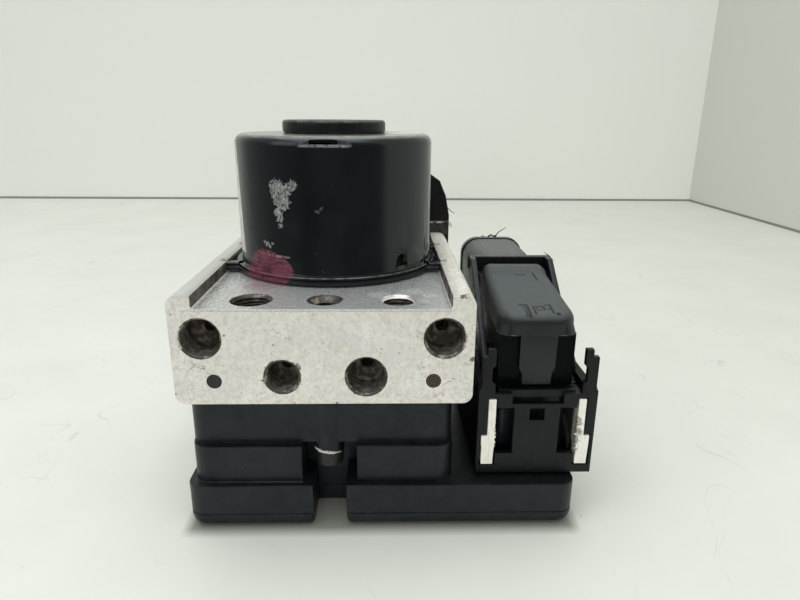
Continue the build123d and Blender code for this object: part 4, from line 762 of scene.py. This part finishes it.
white_paper = paper()
mesh = bmesh.new()
label_low, label_high, steps = 36.0, 72.0, 40
shells = []
for reach in (33.42, 33.52):
    row = []
    for step in range(steps + 1):
        corner_pair = []
        for front_edge, up in ((209, label_low), (202, label_high)):
            angle = math.radians(125 + (front_edge - 125) * step / steps)
            across, back = reach * math.cos(angle), axis_back + reach * math.sin(angle)
            corner_pair.append(mesh.verts.new(spot(across, back, up)))
        row.append(corner_pair)
    shells.append(row)
inner_row, outer_row = shells
for step in range(steps):
    mesh.faces.new((outer_row[step][0], outer_row[step + 1][0], outer_row[step + 1][1], outer_row[step][1]))
    mesh.faces.new((inner_row[step][0], inner_row[step][1], inner_row[step + 1][1], inner_row[step + 1][0]))
    mesh.faces.new((inner_row[step][0], inner_row[step + 1][0], outer_row[step + 1][0], outer_row[step][0]))
    mesh.faces.new((inner_row[step][1], outer_row[step][1], outer_row[step + 1][1], inner_row[step + 1][1]))
for end in (0, steps):
    mesh.faces.new((inner_row[end][0], outer_row[end][0], outer_row[end][1], inner_row[end][1]))
new_piece("can_label", mesh, "unit", (white_paper,))
oval = [(spot(23.6 + 6.6 * math.cos(a), 0, 0).x, spot(0, 57.5 + 12.3 * math.sin(a), 0).y)
        for a in (i * math.tau / 64 for i in range(64))]
new_piece("can_sticker", prism(oval, spot(0, 0, 74.31).z, spot(0, 0, 74.42).z), "unit", (white_paper,))

# ---- Control unit --------------------------------------------------------------------------------
# A glass-filled moulding in three steps with a welded cover underneath. Screws sit in recesses in its
# edges; the front screw's pillar keeps a torn shred of pale film at its foot.
boss_foot, plug_wall = -19.3, 7.2


def moulded_black(name, dark, light, roughness, specular=0.35, dust=0.0, shaded_from=None):
    """A grained black moulding, cloudy, with a few pale specks and some dust; behind shaded_from it is
    painted near-black as shade, and its gloss is lowered behind the plug wall.
    """
    f = Finish(name, dark, roughness, specular=specular, gloss_tint=(0.88, 0.96, 1.0))
    base = f.mix(f.between(f.noise(12, 4), 0.35, 0.68), dark, light)
    specks = f.between(f.cells(2.2), 0.025, 0.06, 1.0, 0.0)
    specks = f.maths("MULTIPLY", specks, f.between(f.noise(6, 2), 0.57, 0.62))
    base = f.mix(specks, base, (0.22, 0.22, 0.20))
    if dust:
        film = f.between(f.noise(4, 5, rough=0.65), 0.42, 0.75, 0.0, dust)
        base = f.mix(film, base, (0.17, 0.175, 0.17))
    if name == "unit_moulding":
        torn = f.dabs([(spot(-1.5, 3.4, boss_foot + 0.35), 0.6), (spot(0.2, 2.9, boss_foot + 0.1), 0.7),
                       (spot(1.7, 3.3, boss_foot + 0.55), 0.8), (spot(2.2, 3.4, boss_foot + 1.1), 0.4)],
                      0.5, 0.5, 1.2)
        fading = f.between(f.place_along(2), up_at(boss_foot + 0.35), up_at(boss_foot + 0.9), 1.0, 0.35)
        base = f.mix(f.maths("MULTIPLY", torn, fading), base, (0.34, 0.36, 0.38))
    if shaded_from:
        # Painted shade: further back, under the hood and behind the front plate, the moulding is painted
        # near-black.
        shade_behind = f.between(f.place_along(1), back_at(shaded_from), back_at(shaded_from + 0.4))
        base = f.mix(shade_behind, base, (0.0012, 0.0013, 0.0015))
        f.shader_value("Specular IOR Level",
                       f.between(f.place_along(1), back_at(plug_wall), back_at(plug_wall + 0.6),
                                 specular, 0.12))
    f.colour(base)
    f.roughness(f.between(f.noise(2.5, 3), 0.3, 0.7, roughness - 0.05, roughness + 0.09))
    f.bump(f.noise(0.35, 3, rough=0.6), 0.012)
    return f.material


unit_black = moulded_black("unit_moulding", (0.0030, 0.0042, 0.0050), (0.0056, 0.0074, 0.0086), 0.36, 0.36,
                           0.04)
softened("control_housing", "unit", (unit_black,), 0.4, shortest=0.6)
softened("control_cover", "unit", (unit_black,), 0.3, shortest=0.6)
mesh = bmesh.new()
random.seed(11)
steps = 26
lines = []
for step in range(steps + 1):
    angle = math.radians(200 + 125 * step / steps)
    taper = math.sin(math.pi * step / steps)
    drop = -17.9 - 1.2 * step / steps
    inner_reach, outer_reach = 4.72, 4.78 + 0.55 * taper * random.uniform(0.5, 1.0)
    height = 0.15 + 0.75 * taper * random.uniform(0.6, 1.1)
    lines.append([mesh.verts.new(spot(0.0 + reach * math.cos(angle), 8.6 + reach * math.sin(angle),
                                      drop + lift))
                  for reach, lift in ((inner_reach, 0), (outer_reach, 0), (outer_reach, height),
                                      (inner_reach, height))])
for first, second in zip(lines, lines[1:]):
    for corner in range(4):
        after = (corner + 1) % 4
        mesh.faces.new((first[corner], first[after], second[after], second[corner]))
mesh.faces.new(lines[0])
mesh.faces.new(list(reversed(lines[-1])))
torn = Finish("torn_film", (0.50, 0.50, 0.46), 0.7)
torn.colour(torn.mix(torn.between(torn.noise(0.6, 3), 0.35, 0.65), (0.22, 0.22, 0.20), (0.58, 0.58, 0.54)))
new_piece("torn_shred", mesh, "unit", (torn.material,))

# ---- Harness plug --------------------------------------------------------------------------------
# The plug's moulded frame with its front plate and guide posts, locked down by a lever. Its two white
# slide plates show in the plate's windows, shaved along their edges and smeared with grime.
plug_black = moulded_black("plug_moulding", (0.0075, 0.0088, 0.0095), (0.0125, 0.0140, 0.0148), 0.42, 0.40,
                           0.08, 3.6)
lever_black = moulded_black("lever_moulding", (0.0022, 0.0024, 0.0028), (0.0045, 0.0050, 0.0056), 0.30,
                            0.35, 0.03)
softened("plug_housing", "plug", (plug_black,), 0.18, shortest=0.3)


def slide_white():
    """Off-white acetal with grey-brown grime on its inner side and scratches; deeper in the windows and on
    its top under the deck it is painted dark as shade.
    """
    f = Finish("slide_white", (0.66, 0.65, 0.58), 0.42)
    base = f.mix(f.between(f.noise(3, 4), 0.35, 0.7), (0.66, 0.65, 0.585), (0.74, 0.73, 0.67))
    scratches = f.between(f.noise(0.7, 4, stretch=(0.5, 2, 3.5)), 0.58, 0.70, 0.0, 0.5)
    base = f.mix(scratches, base, (0.20, 0.19, 0.15))
    grime = f.dabs([(spot(76.0, 5.5, -9.0), 1.8), (spot(75.8, 5.5, -12.5), 2.1),
                    (spot(75.7, 5.5, -15.5), 1.9), (spot(75.8, 5.5, -18.5), 1.4)], 1.3, 1.1, 0.8)
    grime = f.maths("MULTIPLY", grime, f.between(f.noise(0.5, 4, rough=0.75), 0.37, 0.54))
    base = f.mix(f.maths("MULTIPLY", grime, 0.92), base, (0.11, 0.105, 0.080))
    plate_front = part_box("cam_plate_right")[0].y / mm
    in_shade = f.between(f.place_along(1), plate_front + 3.2, plate_front + 5.0)
    stained = f.maths("MULTIPLY", f.between(f.place_along(1), plate_front + 0.25, plate_front + 1.2, 0.0,
                                            0.75),
                      f.between(f.noise(0.7, 4, rough=0.7), 0.42, 0.60))
    base = f.mix(stained, base, (0.13, 0.12, 0.09))
    base = f.mix(f.maths("MULTIPLY", in_shade, 0.93), base, (0.018, 0.016, 0.012))
    # Painted shade: the plate's top, where it shows under the deck, is painted dark.
    shaded_top = f.maths("MULTIPLY", f.between(f.place_along(2), up_at(-2.4), up_at(-1.9)),
                         f.between(f.place_along(1), back_at(5.6), back_at(6.4)))
    base = f.mix(shaded_top, base, (0.035, 0.034, 0.030))
    f.colour(base)
    f.roughness(f.between(f.noise(1.5, 3), 0.3, 0.7, 0.38, 0.55))
    f.bump(f.noise(0.6, 4, rough=0.7), 0.04)
    return f.material


white_slide = slide_white()
for side in ("left", "right"):
    softened("cam_plate_" + side, "cam_" + side, (white_slide,), 0.15, shortest=0.3)


def shavings(name, body, places):
    """Curled bits of plastic raised along a slide plate's edge."""
    shape = bmesh.new()
    for across, up, size in places:
        start = len(shape.verts)
        bmesh.ops.create_icosphere(shape, subdivisions=2, radius=size * mm)
        shape.verts.ensure_lookup_table()
        for vertex in shape.verts[start:]:
            vertex.co = Vector((vertex.co.x * random.uniform(0.6, 1.1), vertex.co.y * 0.8,
                                vertex.co.z * random.uniform(0.9, 1.7))) + spot(across, 5.4, up)
    new_piece(name, shape, body, (white_slide,), 60)


shavings("shavings_left", "cam_left", [(51.1, -6.9, 0.28), (51.2, -11.8, 0.24), (51.25, -12.9, 0.36),
                                       (51.3, -14.2, 0.34),
                                       (51.2, -16.0, 0.40), (51.1, -17.2, 0.34), (51.15, -9.3, 0.2)])
shavings("shavings_right", "cam_right", [(76.3, -8.3, 0.25), (76.2, -13.4, 0.42), (76.3, -15.0, 0.36),
                                         (76.3, -18.3, 0.3)])

# ---- Plug lever ----------------------------------------------------------------------------------
# A moulded bail whose two arms turn on pegs in the plug's frame; its fingers push the slide plates.
# It is blacker and glossier than the frame.
softened("plug_lever", "lever", (lever_black,), 0.3, shortest=0.3)

# ---- Wire cover ----------------------------------------------------------------------------------
# A grey-black hood snapped over the wires, with shallow mould marks on its roof, and behind it a
# round-cornered outlet. Dust lies on their upper faces.
hood_middle, hood_left, hood_right = 63.75, 12.5, 11.4
hood_marks = [
    (58.3, 61.0, 15.7, 16.6), (60.4, 61.0, 8.9, 16.6), (59.3, 60.1, 14.5, 15.0), (59.3, 60.1, 13.2, 13.7),
    (59.3, 60.1, 11.9, 12.4), (59.3, 60.1, 10.6, 11.1), (59.4, 60.1, 9.4, 9.8),
    (62.2, 65.8, 14.4, 15.1), (62.2, 62.6, 10.0, 15.1), (65.4, 65.8, 12.2, 15.1), (63.2, 64.8, 12.0, 12.5),
    (63.2, 63.6, 12.0, 13.7),
    (66.4, 68.2, 15.7, 16.4), (67.5, 68.1, 10.4, 16.4), (66.8, 67.2, 12.4, 13.4), (68.6, 69.7, 9.8, 10.5),
    (62.6, 63.9, 42.0, 43.0), (64.6, 66.2, 42.2, 42.9), (68.8, 69.3, 37.0, 44.4)]


def hood_plastic():
    """Grey-black, settled with dust on its roof, where shallow mould marks are sunk by bump and painted dark
    as the shade in their recesses.
    """
    f = Finish("hood_moulding", (0.030, 0.034, 0.035), 0.5, specular=0.35)
    base = f.mix(f.between(f.noise(9, 4), 0.35, 0.68), (0.0105, 0.0120, 0.0125), (0.0155, 0.0172, 0.0178))
    node = f.tree.nodes.new("ShaderNodeNewGeometry")
    facing = f.tree.nodes.new("ShaderNodeSeparateXYZ")
    f.link(node.outputs["Normal"], facing.inputs[0])
    settled = f.maths("MULTIPLY", f.between(facing.outputs[2], 0.35, 0.95),
                      f.between(f.noise(3, 5), 0.2, 0.8, 0.75, 1.0))
    behind = f.between(f.place_along(1), back_at(57.0), back_at(60.0))
    base = f.mix(settled, base, f.mix(behind, (0.080, 0.095, 0.097), (0.150, 0.163, 0.160)))
    specks = f.between(f.cells(2.0), 0.03, 0.07, 1.0, 0.0)
    specks = f.maths("MULTIPLY", specks, f.between(f.noise(6, 2), 0.57, 0.62))
    base = f.mix(specks, base, (0.24, 0.24, 0.22))
    # Mould marks: sunk by bump below, and darkened as painted shade along the walls of their recesses.
    marks = None
    for left, right, front, rear in hood_marks:
        bar = f.maths("MULTIPLY", f.slab(0, spot(left, 0, 0).x / mm, spot(right, 0, 0).x / mm, 0.12),
                      f.slab(1, back_at(front), back_at(rear), 0.25))
        marks = bar if marks is None else f.maths("MAXIMUM", marks, bar)
    marks = f.maths("MULTIPLY", marks, f.between(f.place_along(2), up_at(20.5), up_at(21.0)))
    base = f.mix(f.maths("MULTIPLY", marks, f.between(f.noise(1.1, 3), 0.3, 0.6, 0.75, 1.0)), base,
                 (0.008, 0.009, 0.010))
    f.colour(base)
    f.roughness(f.between(settled, 0.0, 1.0, 0.42, 0.6))
    f.bump(f.noise(0.35, 3), 0.012)
    f.bump(f.maths("SUBTRACT", 1.0, marks), 0.15)
    return f.material


def rounder_corner(mesh, low_left, right, front, small, large):
    """Pulls a hood's front corners in to a larger round, inner and outer walls alike."""
    middle, half = (low_left + right) / 2, (right - low_left) / 2
    steps = [large * share for share in (0.0, 0.2, 0.35, 0.5, 0.65, 0.8, 1.0)]
    for step in steps:
        for place, way in ((Vector((middle + half - large + step, 0, 0)), (1, 0, 0)),
                           (Vector((middle - half + large - step, 0, 0)), (1, 0, 0)),
                           (Vector((0, front + large - step, 0)), (0, 1, 0))):
            bmesh.ops.bisect_plane(mesh, geom=list(mesh.verts) + list(mesh.edges) + list(mesh.faces),
                                   plane_co=place * mm, plane_no=way, dist=1e-7)
    for vert in mesh.verts:
        across, back, up = vert.co / mm
        side = 1 if across > middle else -1
        out, fore = abs(across - middle) - (half - large), (front + large) - back
        if out <= 0.01 or fore <= 0.01 or up < up_at(18.05):
            continue
        reach = math.hypot(out, fore)
        way = (out / reach, fore / reach)
        flat = large / max(way)
        if min(way) * flat > large - small:
            inset = large - small
            along = (way[0] + way[1]) * inset
            flat = along + math.sqrt(max(0.0, along * along - 2 * inset * inset + small * small))
        share = large / flat
        vert.co.x = (middle + side * (half - large + out * share)) * mm
        vert.co.y = (front + large - fore * share) * mm


hood = softened("wire_cover", "plug", (hood_plastic(),), 0.35, shortest=0.9)
mesh = bmesh.new()
mesh.from_mesh(hood.data)
rounder_corner(mesh, hood_middle - hood_left, hood_middle + hood_right, back_at(8.0), 3.6, 7.0)
mesh.to_mesh(hood.data)
mesh.free()

# ---- Cut wires -----------------------------------------------------------------------------------
# The harness is cut off behind the cover: black insulated wires end bare in the outlet, and frayed
# threads of its braid stick up over the outlet's top.


def insulation():
    f = Finish("wire_insulation", (0.012, 0.012, 0.013), 0.4)
    f.colour(f.mix(f.between(f.noise(2, 3), 0.35, 0.7), (0.010, 0.010, 0.011), (0.022, 0.022, 0.023)))
    f.bump(f.noise(0.5, 3), 0.01)
    return f.material


def bare_copper():
    f = Finish("bare_copper", (0.75, 0.42, 0.24), 0.32, metallic=1.0)
    f.colour(f.mix(f.between(f.noise(0.5, 3), 0.35, 0.7), (0.58, 0.30, 0.17), (0.85, 0.52, 0.32)))
    f.roughness(f.between(f.noise(0.7, 3), 0.3, 0.7, 0.25, 0.45))
    return f.material


wire_black, copper_wire = insulation(), bare_copper()
dress(frame["nodes"]["cut_wires"], wire_black)
mesh = bmesh.new()
mesh.from_mesh(frame["nodes"]["cut_wires"].data)
bmesh.ops.remove_doubles(mesh, verts=mesh.verts, dist=2e-6)
cut_ends = []
waiting = set(mesh.verts)
while waiting:
    island, front = set(), [waiting.pop()]
    while front:
        vertex = front.pop()
        island.add(vertex)
        for edge in vertex.link_edges:
            other = edge.other_vert(vertex)
            if other in waiting:
                waiting.discard(other)
                front.append(other)
    rear = max(v.co.y for v in island)
    rim = [v.co for v in island if rear - v.co.y < 0.05 * mm]
    cut_ends.append(Vector((sum(p.x for p in rim) / len(rim), rear, sum(p.z for p in rim) / len(rim))))
mesh.clear()
strand_radius = 0.2
for end in sorted(cut_ends, key=lambda p: (round(p.z, 5), p.x)):
    for strand in range(7):
        reach = 0.0 if strand == 0 else 0.42
        angle = strand * math.tau / 6
        middle = end + Vector((reach * math.cos(angle), 0, reach * math.sin(angle))) * mm
        length = random.uniform(0.5, 1.3)
        rims = []
        for back in (-0.2, length):
            around = [(strand_radius * math.cos(t), back, strand_radius * math.sin(t))
                      for t in (i * math.tau / 8 for i in range(8))]
            rims.append([mesh.verts.new(middle + Vector(place) * mm) for place in around])
        for index in range(8):
            after = (index + 1) % 8
            mesh.faces.new((rims[0][index], rims[0][after], rims[1][after], rims[1][index]))
        mesh.faces.new(rims[0])
        mesh.faces.new(list(reversed(rims[1])))
new_piece("wire_strands", mesh, "plug", (copper_wire,))


def threads_piece(name, runs, thickness, body, material):
    """Loose fibres as round strands through the given places, in layout millimetres."""
    shape = bmesh.new()
    for run in runs:
        places = [spot(*p) for p in run]
        fine = []
        for index in range(len(places) - 1):
            before = places[max(index - 1, 0)]
            start, end = places[index], places[index + 1]
            beyond = places[min(index + 2, len(places) - 1)]
            for part in range(5):
                t = part / 5
                fine.append(0.5 * (2 * start + (end - before) * t
                                   + (2 * before - 5 * start + 4 * end - beyond) * t ** 2
                                   + (3 * start - before - 3 * end + beyond) * t ** 3))
        fine.append(places[-1])
        rings = []
        for index, place in enumerate(fine):
            ahead = (fine[min(index + 1, len(fine) - 1)] - fine[max(index - 1, 0)]).normalized()
            across = ahead.orthogonal().normalized()
            other = ahead.cross(across)
            reach = thickness * mm * (1.0 - 0.6 * index / len(fine))
            rings.append([shape.verts.new(place + (across * math.cos(a) + other * math.sin(a)) * reach)
                          for a in (i * math.tau / 6 for i in range(6))])
        for first, second in zip(rings, rings[1:]):
            for index in range(6):
                after = (index + 1) % 6
                shape.faces.new((first[index], first[after], second[after], second[index]))
        shape.faces.new(rings[0])
        shape.faces.new(list(reversed(rings[-1])))
    new_piece(name, shape, body, (material,), 60)


frays = [
    [(59.9, 98.6, 28.6), (59.7, 99.0, 29.8), (59.8, 99.2, 30.6)],
    [(60.4, 98.6, 28.6), (60.3, 99.2, 29.7), (60.9, 99.2, 30.1)],
    [(61.8, 98.6, 28.6), (62.4, 99.2, 29.9), (63.5, 99.0, 30.7), (64.5, 99.0, 30.3), (65.6, 98.8, 29.6)],
    [(63.2, 98.6, 28.6), (62.7, 99.0, 29.9), (63.8, 99.0, 30.4), (65.0, 99.0, 29.8)],
    [(64.6, 98.6, 28.6), (65.6, 99.0, 30.1), (66.8, 99.0, 31.8), (68.4, 99.0, 32.9), (69.9, 99.0, 33.9)],
    [(64.0, 98.6, 28.6), (64.6, 99.0, 29.8), (65.4, 99.0, 30.4), (66.2, 99.0, 29.4)],
]
threads_piece("frayed_braid", frays, 0.3, "plug", wire_black)

# ---- Rear bracket --------------------------------------------------------------------------------
# A black-coated steel plate bolted to the block's rear. A rough grey band of dirt crosses it, and a
# few fibres cling to its right edge.


def bracket_coat():
    f = Finish("bracket_coat", (0.007, 0.0075, 0.008), 0.5, specular=0.35)
    base = f.mix(f.between(f.noise(5, 4), 0.35, 0.7), (0.0035, 0.0038, 0.0042), (0.009, 0.009, 0.009))
    band = f.maths("MULTIPLY", f.slab(2, up_at(32.0), up_at(36.4), 0.8),
                   f.between(f.noise(1.6, 5, rough=0.7), 0.3, 0.65))
    base = f.mix(f.maths("MULTIPLY", band, 0.8), base, (0.07, 0.07, 0.066))
    # Painted highlight: a light line across the plate at its bend, where light from above catches it.
    line = f.maths("MULTIPLY", f.slab(2, up_at(36.9), up_at(37.5), 0.2),
                   f.between(f.noise(1.5, 3), 0.42, 0.58))
    base = f.mix(line, base, (0.42, 0.42, 0.42))
    f.colour(base)
    f.roughness(f.between(band, 0.0, 1.0, 0.45, 0.8))
    f.bump(f.noise(0.6, 4), 0.03)
    f.bump(band, 0.1)
    return f.material


coated = bracket_coat()
softened("rear_bracket", "unit", (coated,), 0.5, shortest=0.4)
clinging = [
    [(43.4, 92.9, 43.5), (44.6, 92.6, 42.3), (45.9, 92.4, 41.4), (46.8, 92.4, 41.2)],
    [(43.5, 92.9, 36.6), (44.6, 92.6, 37.2), (45.3, 92.6, 36.2), (45.4, 92.7, 35.0)],
    [(43.6, 92.9, 35.9), (44.5, 92.7, 36.4), (45.0, 92.7, 35.2)],
    [(41.0, 92.85, 38.8), (42.3, 92.8, 40.2), (43.6, 92.8, 39.4)],
    [(40.2, 92.85, 48.2), (41.4, 92.8, 47.3), (42.2, 92.8, 45.6)],
]
threads_piece("clinging_fibres", clinging, 0.2, "unit", wire_black)

# ---- Pieces inside -------------------------------------------------------------------------------
# Pump, valves, coils, motor inside, board and contacts: ground and turned steel, wound copper, sintered
# ferrite, pressed carbon and moulded plastics, each in its ordinary finish.


def plain(name, dark, light, size, roughness, metallic=0.0, grain=0.0, stretch=(1, 1, 1)):
    """A finish with a cloudy colour between two tones and a little texture."""
    f = Finish(name, dark, roughness, metallic=metallic)
    f.colour(f.mix(f.between(f.noise(size, 4, stretch=stretch), 0.35, 0.68), dark, light))
    f.roughness(f.between(f.noise(size * 0.6, 3), 0.3, 0.7, max(roughness - 0.06, 0.05), roughness + 0.08))
    if grain:
        f.bump(f.noise(0.5, 3), grain)
    return f.material


inside = {
    "machined_steel": plain("ground_steel", (0.50, 0.50, 0.50), (0.66, 0.66, 0.66), 2.0, 0.28, 1.0, 0.004),
    "spring_wire": plain("spring_wire", (0.38, 0.38, 0.39), (0.52, 0.52, 0.53), 1.0, 0.32, 1.0),
    "anodised": plain("hard_anodised", (0.42, 0.43, 0.45), (0.58, 0.59, 0.61), 3.0, 0.42, 0.6, 0.006),
    "copper": plain("enamelled_copper", (0.52, 0.24, 0.11), (0.74, 0.40, 0.20), 0.8, 0.3, 0.8, 0.02),
    "laminations": plain("stacked_sheet", (0.28, 0.285, 0.29), (0.44, 0.45, 0.46), 0.5, 0.45, 0.8, 0.02,
                         (20, 20, 1)),
    "ferrite": plain("sintered_ferrite", (0.045, 0.045, 0.05), (0.075, 0.075, 0.08), 1.5, 0.7, 0.0, 0.02),
    "carbon": plain("pressed_carbon", (0.018, 0.018, 0.018), (0.035, 0.035, 0.034), 1.0, 0.6, 0.0, 0.02),
    "natural_plastic": plain("natural_moulding", (0.24, 0.22, 0.18), (0.33, 0.31, 0.26), 4.0, 0.5, 0.0, 0.01),
    "seal_rubber": plain("seal_rubber", (0.020, 0.020, 0.021), (0.032, 0.032, 0.033), 2.0, 0.75, 0.0, 0.01),
    "brass_pins": plain("tinned_brass", (0.60, 0.50, 0.28), (0.78, 0.70, 0.48), 0.8, 0.3, 1.0),
    "board": plain("solder_mask", (0.012, 0.085, 0.035), (0.020, 0.13, 0.055), 6.0, 0.35, 0.0, 0.01),
    "chip_black": plain("chip_moulding", (0.015, 0.015, 0.015), (0.028, 0.028, 0.028), 1.5, 0.5, 0.0, 0.01),
}
for part in frame["record"]["subparts"]:
    if part["material_slot"] in inside:
        dress(frame["nodes"][part["node"]], inside[part["material_slot"]])

# ---- Floor, light and camera ---------------------------------------------------------------------
# A pale scratched table against a painted wall, with a second wall to the right. Daylight comes mostly
# from above and behind, and the eye stands in front, a little above the block.
eye = spot(17.41, -157.58, 80.83)
yaw, pitch, roll = (math.radians(a) for a in (1.503, 17.302, -0.446))
forward = Vector((math.sin(yaw) * math.cos(pitch), math.cos(yaw) * math.cos(pitch), -math.sin(pitch)))
level_right = Vector((math.cos(yaw), -math.sin(yaw), 0))
level_down = forward.cross(level_right)
right = math.cos(roll) * level_right + math.sin(roll) * level_down
down = -math.sin(roll) * level_right + math.cos(roll) * level_down
camera_data = bpy.data.cameras.new("camera")
camera_data.sensor_width = 36
camera_data.lens = 26.93
camera_data.clip_start = 0.01
camera = bpy.data.objects.new("camera", camera_data)
camera.matrix_world = Matrix((
    (right.x, -down.x, -forward.x, eye.x),
    (right.y, -down.y, -forward.y, eye.y),
    (right.z, -down.z, -forward.z, eye.z),
    (0, 0, 0, 1),
))
bpy.context.scene.collection.objects.link(camera)
bpy.context.scene.camera = camera
bpy.context.scene.view_settings.view_transform = "Standard"


def stage_sheet(name, corners, material):
    mesh = bmesh.new()
    mesh.faces.new([mesh.verts.new(c) for c in corners])
    data = bpy.data.meshes.new(name)
    mesh.to_mesh(data)
    mesh.free()
    sheet = bpy.data.objects.new(name, data)
    bpy.context.scene.collection.objects.link(sheet)
    dress(sheet, material)


table_top = Finish("pale_table", (0.745, 0.765, 0.715), 0.5)
table_colour = table_top.mix(table_top.between(table_top.noise(60, 4), 0.35, 0.7), (0.725, 0.745, 0.695),
                             (0.765, 0.785, 0.735))
for size, thin, faint in ((70, 0.0016, 0.30), (38, 0.0026, 0.22)):
    drift = table_top.maths_open("SUBTRACT", table_top.noise(size, 2, stretch=(1, 2, 1)), 0.5)
    hairline = table_top.between(table_top.maths_open("ABSOLUTE", drift), thin * 0.5, thin, faint, 0.0)
    hairline = table_top.maths("MULTIPLY", hairline, table_top.between(table_top.noise(45, 2), 0.52, 0.60))
    table_colour = table_top.mix(hairline, table_colour, (0.42, 0.41, 0.38))
specks = table_top.maths("MULTIPLY", table_top.between(table_top.cells(9), 0.02, 0.05, 0.6, 0.0),
                         table_top.between(table_top.noise(30, 2), 0.55, 0.60))
table_colour = table_top.mix(specks, table_colour, (0.35, 0.34, 0.31))
foot_low, foot_high = (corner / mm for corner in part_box("control_cover"))
# Painted shadow: the table is darkened round the control cover's foot, where the unit shades it.
contact_shadow = table_top.maths("MULTIPLY", table_top.slab(0, foot_low.x + 1, foot_high.x - 1, 3.5),
                          table_top.slab(1, foot_low.y, foot_high.y, 4.5))
table_colour = table_top.mix(table_top.maths("MULTIPLY", contact_shadow, 0.88), table_colour, (0.20, 0.205, 0.18))
table_top.colour(table_colour)
wall_paint = Finish("pale_wall", (0.84, 0.85, 0.805), 0.8)
side_paint = Finish("side_wall_paint", (0.70, 0.715, 0.665), 0.8)
joint_shade = Finish("joint_shade", (0.26, 0.27, 0.235), 0.9)
near_edge, far_edge, left_edge, right_edge, top_edge = -0.27, 0.686, -1.6, 0.478, 1.4
stage_sheet("table", [(left_edge, near_edge, 0), (right_edge, near_edge, 0), (right_edge, far_edge, 0),
                      (left_edge, far_edge, 0)], table_top.material)
stage_sheet("back_wall", [(left_edge, far_edge, 0), (right_edge, far_edge, 0),
                          (right_edge, far_edge, top_edge), (left_edge, far_edge, top_edge)],
            wall_paint.material)
stage_sheet("side_wall", [(right_edge, far_edge, 0), (right_edge, near_edge, 0),
                          (right_edge, near_edge, top_edge), (right_edge, far_edge, top_edge)],
            side_paint.material)

joint_height, joint_gap = 0.0028, 0.0004
stage_sheet("back_joint", [(left_edge, far_edge - joint_gap, 0), (right_edge, far_edge - joint_gap, 0),
                           (right_edge, far_edge - joint_gap, joint_height),
                           (left_edge, far_edge - joint_gap, joint_height)], joint_shade.material)
stage_sheet("side_joint", [(right_edge - joint_gap, far_edge, 0), (right_edge - joint_gap, near_edge, 0),
                           (right_edge - joint_gap, near_edge, joint_height),
                           (right_edge - joint_gap, far_edge, joint_height)], joint_shade.material)


def soft_lamp(name, place, aim, width, height, power):
    data = bpy.data.lights.new(name, "AREA")
    data.shape = "RECTANGLE"
    data.size = width
    data.size_y = height
    data.energy = power
    lamp = bpy.data.objects.new(name, data)
    lamp.location = place
    lamp.rotation_euler = (Vector(aim) - Vector(place)).to_track_quat("-Z", "Y").to_euler()
    bpy.context.scene.collection.objects.link(lamp)
    return lamp


soft_lamp("ceiling", (-0.05, 0.1, 1.7), (0, 0.1, 0), 2.4, 2.1, 23.0)
soft_lamp("window", (-1.0, -0.7, 0.7), (0, 0, 0.05), 0.8, 0.8, 2.4)
soft_lamp("front_fill", (0.0, -1.1, 0.22), (0, 0, 0.07), 0.7, 0.35, 6.5).visible_glossy = False
world = bpy.data.worlds.new("room")
bpy.context.scene.world = world
world.use_nodes = True
nodes, links = world.node_tree.nodes, world.node_tree.links
background = nodes["Background"]
background.inputs["Color"].default_value = (0.97, 0.985, 0.95, 1)
direction = nodes.new("ShaderNodeSeparateXYZ")
links.new(nodes.new("ShaderNodeTexCoord").outputs["Generated"], direction.inputs[0])
towards_back = nodes.new("ShaderNodeMapRange")
links.new(direction.outputs["Y"], towards_back.inputs["Value"])
for socket, value in (("From Min", -0.6), ("From Max", 0.3), ("To Min", 0.09), ("To Max", 0.62)):
    towards_back.inputs[socket].default_value = value
upwards = nodes.new("ShaderNodeMapRange")
links.new(direction.outputs["Z"], upwards.inputs["Value"])
for socket, value in (("From Min", 0.25), ("From Max", 0.9), ("To Min", 0.0), ("To Max", 0.5)):
    upwards.inputs[socket].default_value = value
glow = nodes.new("ShaderNodeMath")
glow.operation = "ADD"
links.new(towards_back.outputs["Result"], glow.inputs[0])
links.new(upwards.outputs["Result"], glow.inputs[1])
from_left = nodes.new("ShaderNodeMapRange")
links.new(direction.outputs["X"], from_left.inputs["Value"])
for socket, value in (("From Min", -1.0), ("From Max", 0.0), ("To Min", 0.55), ("To Max", 1.0)):
    from_left.inputs[socket].default_value = value
strength = nodes.new("ShaderNodeMath")
strength.operation = "MULTIPLY"
links.new(glow.outputs[0], strength.inputs[0])
links.new(from_left.outputs["Result"], strength.inputs[1])
links.new(strength.outputs[0], background.inputs["Strength"])
